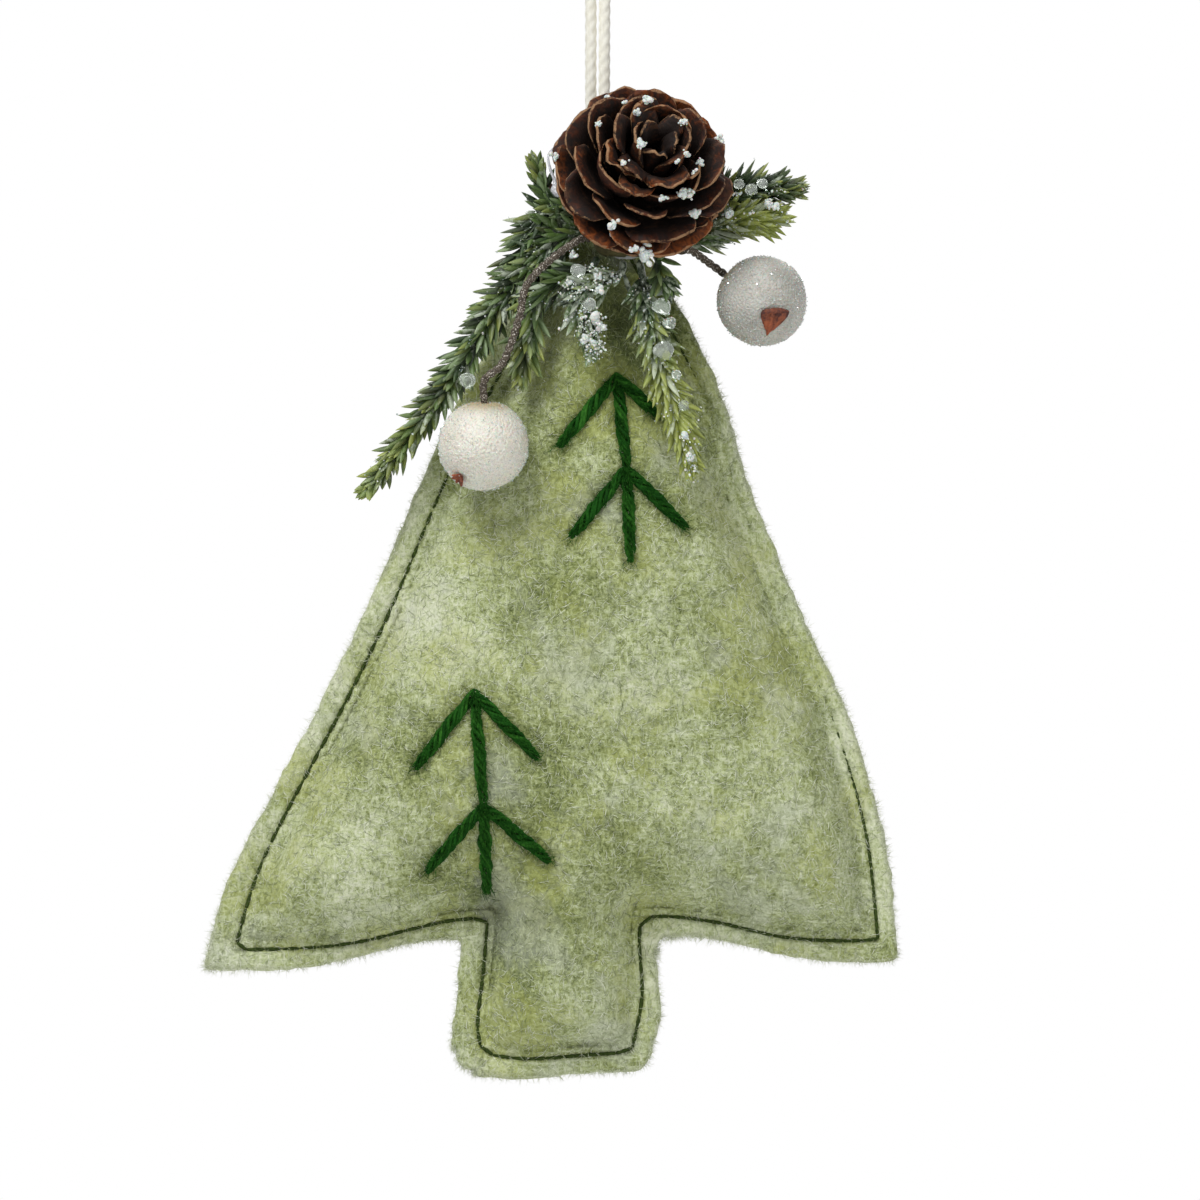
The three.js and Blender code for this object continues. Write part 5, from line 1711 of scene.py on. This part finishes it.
def makeWire(berry, settings, body, centre, entry):
    s = settings
    reach = s["radius"] + s["gap"]
    ends = (centre + entry * (reach + 2 * s["wire"]), centre + entry * (reach - s["tipSunk"]))
    route = stemRoute(berry["along"], berry["way"], berry["route"], s["wire"] / 2, 0.16, ends)
    radii = plied(route, s["wire"] / 2 * s["fullness"], s["plies"], s["pitch"], s["sides"], s["groove"])
    wire = onePiece(berry["name"] + "_wire", *sweep(route, radii))
    dress(wire, wrappedWire, body, "wire_wrap", berry["name"] + "_stem")


def makeBall(berry, settings, body, centre, entry, calyxWay):
    # a sugared ball with a dimple at the wire and one at the calyx
    s = settings
    nothingSelected()
    bpy.ops.mesh.primitive_ico_sphere_add(subdivisions=7, radius=s["radius"])
    points, tris = shapeOf(bpy.context.object)
    ways = unit(points)
    fromEntry = 1 - ways @ entry
    (deep, wide), (calyxDeep, calyxWide) = s["dimples"]
    dimple = deep * np.exp(-(fromEntry / wide)) + calyxDeep * np.exp(-((1 - ways @ calyxWay) / calyxWide))
    rough = 0.5 * lump(points, 0.34, 2) + 0.5 * lump(points, 0.19, 6)
    swell = 0.14 * lump(points, 5, berry["warm"])
    points = ways * (s["radius"] - s["grain"] + swell + s["grain"] * 1.6 * rough - dimple)[:, None]
    ball = onePiece(berry["name"] + "_ball", points + centre, tris, stain=1.1 * np.exp(-(fromEntry / 0.2)))
    dress(ball, berryFinish(berry["name"] + "_sugar", s, berry["warm"]), body, "berry", berry["name"])


def makeCalyx(berry, settings, body, centre, calyxWay):
    folded = berry["folded"]
    seat = centre + calyxWay * (settings["radius"] - settings["sunk"])
    side = unit(np.cross((0, 0, 1), calyxWay))
    fall = np.cross(side, calyxWay)
    leaf, tris = shapeOf(spindle(10, [
        (0, 0.2, 0.2), (0.08, 0.38, 0.3), (0.2, 0.5, 0.34), (0.35, 0.52, 0.34), (0.5, 0.46, 0.3),
        (0.65, 0.4, 0.26), (0.8, 0.3, 0.2), (0.92, 0.18, 0.14), (1, 0.06, 0.06),
    ]))
    sepals = 9 if folded else 7
    rims = 3 if folded else 0
    heap = Heap()
    for k in range(sepals + rims):
        root = seat
        fan = (k - 4) / 4
        if k >= sepals:
            # the dry rim lies across the tops
            root = seat - fall * dice.normal(0.78, 0.08) + side * (0.5 * (k - sepals) - 1.35) + calyxWay * 0.4
            way = unit(side + fall * dice.normal(0, 0.1))
            size, wide, thick = 2.5, 0.7, 1.3
        elif folded:
            # sepals dried together, from their ragged tops to one point
            root = seat - fall * dice.normal(0.95, 0.08) + side * (fan * 1.7 + 0.4)
            root = root + calyxWay * (0.2 + 0.35 * (k % 2))
            line = seat + fall * 3.0 - side * 0.5 - root
            way = unit(line)
            size, wide, thick = np.linalg.norm(line) * (1 - 0.2 * abs(fan)), 1.15, 1.2
        else:
            # an open star
            angle = 2 * math.pi * k / sepals + dice.normal(0, 0.2)
            flare = side * math.cos(angle) + fall * math.sin(angle)
            way = unit(flare * (0.75 + 0.2 * dice.random()) + calyxWay * 0.75)
            size, wide, thick = 1.1 + 0.5 * dice.random(), 0.9, 0.8
        broad = unit(np.cross(way, calyxWay))
        turn = np.stack([broad * wide, np.cross(way, broad) * thick, way * size], -1)
        sepal = leaf @ turn.T + root
        # painted shade on the folded calyx: darker towards its top under the berry, lighter towards its point
        tone = dice.random() + folded * np.clip((sepal - seat) @ fall * 0.4, -0.7, 0.45)
        heap.put(sepal + calyxWay * 0.3 * lump(sepal, 0.9, k)[:, None], tris, tone=tone)
    dress(heap.piece(berry["name"] + "_husk"), driedCalyx, body, "calyx", berry["name"] + "_calyx")


def makeBerry(berry, settings):
    s = settings
    body = berry["name"] + "_pick"
    centre = fromBinding(berry["centre"])
    entry, calyxWay = unit(berry["entry"]), unit(berry["calyx"])
    makeWire(berry, s, body, centre, entry)
    makeBall(berry, s, body, centre, entry, calyxWay)
    makeCalyx(berry, s, body, centre, calyxWay)
    places = centre + unit(dice.normal(size=(s["sparks"], 3))) * s["radius"]
    flakes(berry["name"] + "_sparks", body, "berry", places, 0.12 + 0.16 * dice.random(s["sparks"]) ** 2)


for berry in berries:
    makeBerry(berry, berrySettings)
print("berries frosted")


# binding, glue, cut stem and knot

def makeBinding(settings):
    s = settings
    finish = Finish("stemTape", Roughness=0.7)
    creases = finish.grain(1.2, 4, 0.65, stretch=(0.4, 1, 1))
    finish.paint(creases, (0.3, s["dark"]), (0.7, s["light"]), relief=(0.25, 0.8))
    half = s["length"] / 2 - 0.2
    route = bindingPlace + np.linspace(-half, half, 90)[:, None] * (1, 0, 0)
    wrap = (lengthsAlong(route)[:, None] / s["tapeWidth"] + np.arange(s["sides"]) / s["sides"]) % 1
    radii = (s["radius"] - 0.16 + 0.2 * wrap) * roundEnds(route, s["radius"])[:, None]
    dress(onePiece("stem_tape", *sweep(route, radii)), finish, "tree", "tape", "stem_binding")


pickSettings = {
    "along": -1,
    "way": (-0.75, 0.6, 0.3),
    "route": ((-0.263, 0.1, 0.196),),
    "radius": 0.9,
    "swell": 0.16,
    "dark": srgb(46, 24, 20),
    "light": srgb(104, 64, 46),
}


def makePickStem(settings):
    s = settings
    finish = Finish("cutStem", Roughness=0.8)
    bark = finish.grain(0.8, 4, 0.7, stretch=(0.4, 1, 1))
    finish.paint(bark, (0.3, s["dark"]), (0.7, s["light"]), relief=(0.2, 0.9))
    route = stemRoute(s["along"], s["way"], s["route"], 0.95, 0.2)
    radii = s["radius"] + s["swell"] * np.stack([lump(route, 1.1, k * 1.7) for k in range(10)], -1)
    radii[:2] *= 0.9
    dress(onePiece("cut_stem", *sweep(route, radii)), finish, "tree", "wire_wrap", "pick_stem")


glueSettings = {
    "string": (
        (-5.9, -9.2, 6.4), (-6.9, -10.2, 5.1), (-6.6, -10.9, 3.0), (-5.8, -11.2, 1.0), (-5.5, -11.3, -0.9),
    ),
    "thread": 0.13,
    "drop": (0.75, 0.86, 0.1),  # the thicker drop: its radius, then its place and reach as shares
    "flat": 0.7,
    "sides": 10,
    "dark": srgb(214, 216, 222),
    "light": srgb(240, 241, 244),
}


def makeGlue(settings):
    # the carried pad gets its finish, and the drawn string is new
    s = settings
    finish = Finish("hotGlue", Roughness=0.18, Transmission_Weight=0.45, IOR=1.48, Coat_Weight=0.2)
    finish.paint(finish.grain(2.5, 3), (0.3, s["dark"]), (0.7, s["light"]), relief=(0.3, 0.5))
    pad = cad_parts["glue_pad"]
    pad.data.materials.clear()
    pad.data.materials.append(finish.material)
    route = smoothRoute(s["string"], 0.2)
    share = np.linspace(0, 1, len(route))
    drop, at, reach = s["drop"]
    thick = s["thread"] + drop * np.exp(-((share - at) / reach) ** 2) + 0.16 * share
    radii = np.repeat((thick * roundEnds(route, 0.4))[:, None], s["sides"], 1)
    dress(onePiece("glue_string", *sweep(route, radii, s["flat"])), finish, "tree", "glue")


knotSettings = {
    "strand": 0.979,  # how far each strand is from the middle
    "tails": ((1, 2.3), (1, -3), (1, -8), (1, -13), (2, -16.2), (3, -19.3)),  # spread and height
    "ring": 1.5,
    "ringPlace": (0.53, -13),  # half the rings' distance, and their height
    "tilt": 12.0,
    "closing": 0.97,
}


def makeKnot(settings, twine):
    # the loop's two ends go through two rings of twine and splay into tails
    s = settings
    heap = Heap()
    for side in (-1, 1):
        tail = [(side * s["strand"] * spread, 0, height) for spread, height in s["tails"]]
        heap.put(*twineBody(tail, twine, -side)[1])
    turns = np.linspace(0, 2 * math.pi * s["closing"], 60)
    apart, height = s["ringPlace"]
    for lean in (-1, 1):
        tilt = math.radians(s["tilt"]) * lean
        ring = np.stack([
            s["ring"] * np.cos(turns),
            s["ring"] * np.sin(turns) * math.cos(tilt),
            s["ring"] * np.sin(turns) * math.sin(tilt) + lean * apart + height,
        ], -1)
        radii = plied(ring, twine["diameter"] / 2, twine["plies"], twine["pitch"], twine["sides"])
        heap.put(*sweep(ring, radii))
    dress(heap.piece("twine_knot"), cottonTwine, "tree", "twine", "loop_knot")


makeBinding(bindingSettings)
makePickStem(pickSettings)
makeGlue(glueSettings)
makeKnot(knotSettings, twineSettings)
print("binding, glue, stem and knot made")


# floor, world and lamps

stageSettings = {
    "floor": -0.262,  # its height, in metres
    "reach": 0.62,
    "shade": (0.9, 0.9, 0.9, 1),
    "paper": (0.93, 0.93, 0.93, 1),
    "world": 0.22,
    "aim": (0, 0, -0.13),
    "lamps": (
        # name, place, size, power
        ("key", (-0.4, -0.6, 0.72), 0.5, 9.0),
        ("fill", (0.6, -0.7, -0.1), 0.6, 2.0),
        ("back", (0.1, 0.8, 0.3), 0.7, 2.0),
    ),
}


def makeFloor(settings):
    s = settings
    nothingSelected()
    bpy.ops.mesh.primitive_circle_add(
        vertices=96, radius=s["reach"], fill_type="NGON", location=(0, 0, s["floor"]),
    )
    floor = bpy.context.object
    floor.name = "floor"
    paper = Finish("palePaper", Roughness=0.9)
    paper.paint(paper.grain(90, 2), (0.3, s["shade"]), (0.7, s["paper"]))
    floor.data.materials.append(paper.material)


def makeWorld(settings):
    # dim for the object, and plain white where it is seen directly, in gloss or through glass
    world = bpy.data.worlds.new("studio")
    bpy.context.scene.world = world
    world.use_nodes = True
    tree = world.node_tree
    background = tree.nodes["Background"]
    background.inputs["Color"].default_value = (1, 1, 1, 1)
    path = tree.nodes.new("ShaderNodeLightPath")
    seen = path.outputs["Is Camera Ray"]
    for name in ("Is Glossy Ray", "Is Transmission Ray"):
        joint = tree.nodes.new("ShaderNodeMath")
        joint.operation = "MAXIMUM"
        tree.links.new(seen, joint.inputs[0])
        tree.links.new(path.outputs[name], joint.inputs[1])
        seen = joint.outputs[0]
    strength = tree.nodes.new("ShaderNodeMapRange")
    strength.inputs["To Min"].default_value = settings["world"]
    strength.inputs["To Max"].default_value = 1.0
    tree.links.new(seen, strength.inputs["Value"])
    tree.links.new(strength.outputs[0], background.inputs["Strength"])


def makeLamps(settings):
    target = Vector(settings["aim"])
    for name, place, size, power in settings["lamps"]:
        data = bpy.data.lights.new(name, "AREA")
        data.size = size
        data.energy = power
        lamp = bpy.data.objects.new(name, data)
        bpy.context.scene.collection.objects.link(lamp)
        lamp.location = place
        lamp.rotation_euler = (target - Vector(place)).to_track_quat("-Z", "Y").to_euler()


makeFloor(stageSettings)
makeWorld(stageSettings)
makeLamps(stageSettings)
bpy.context.scene.view_settings.view_transform = "Standard"
print("stage set")
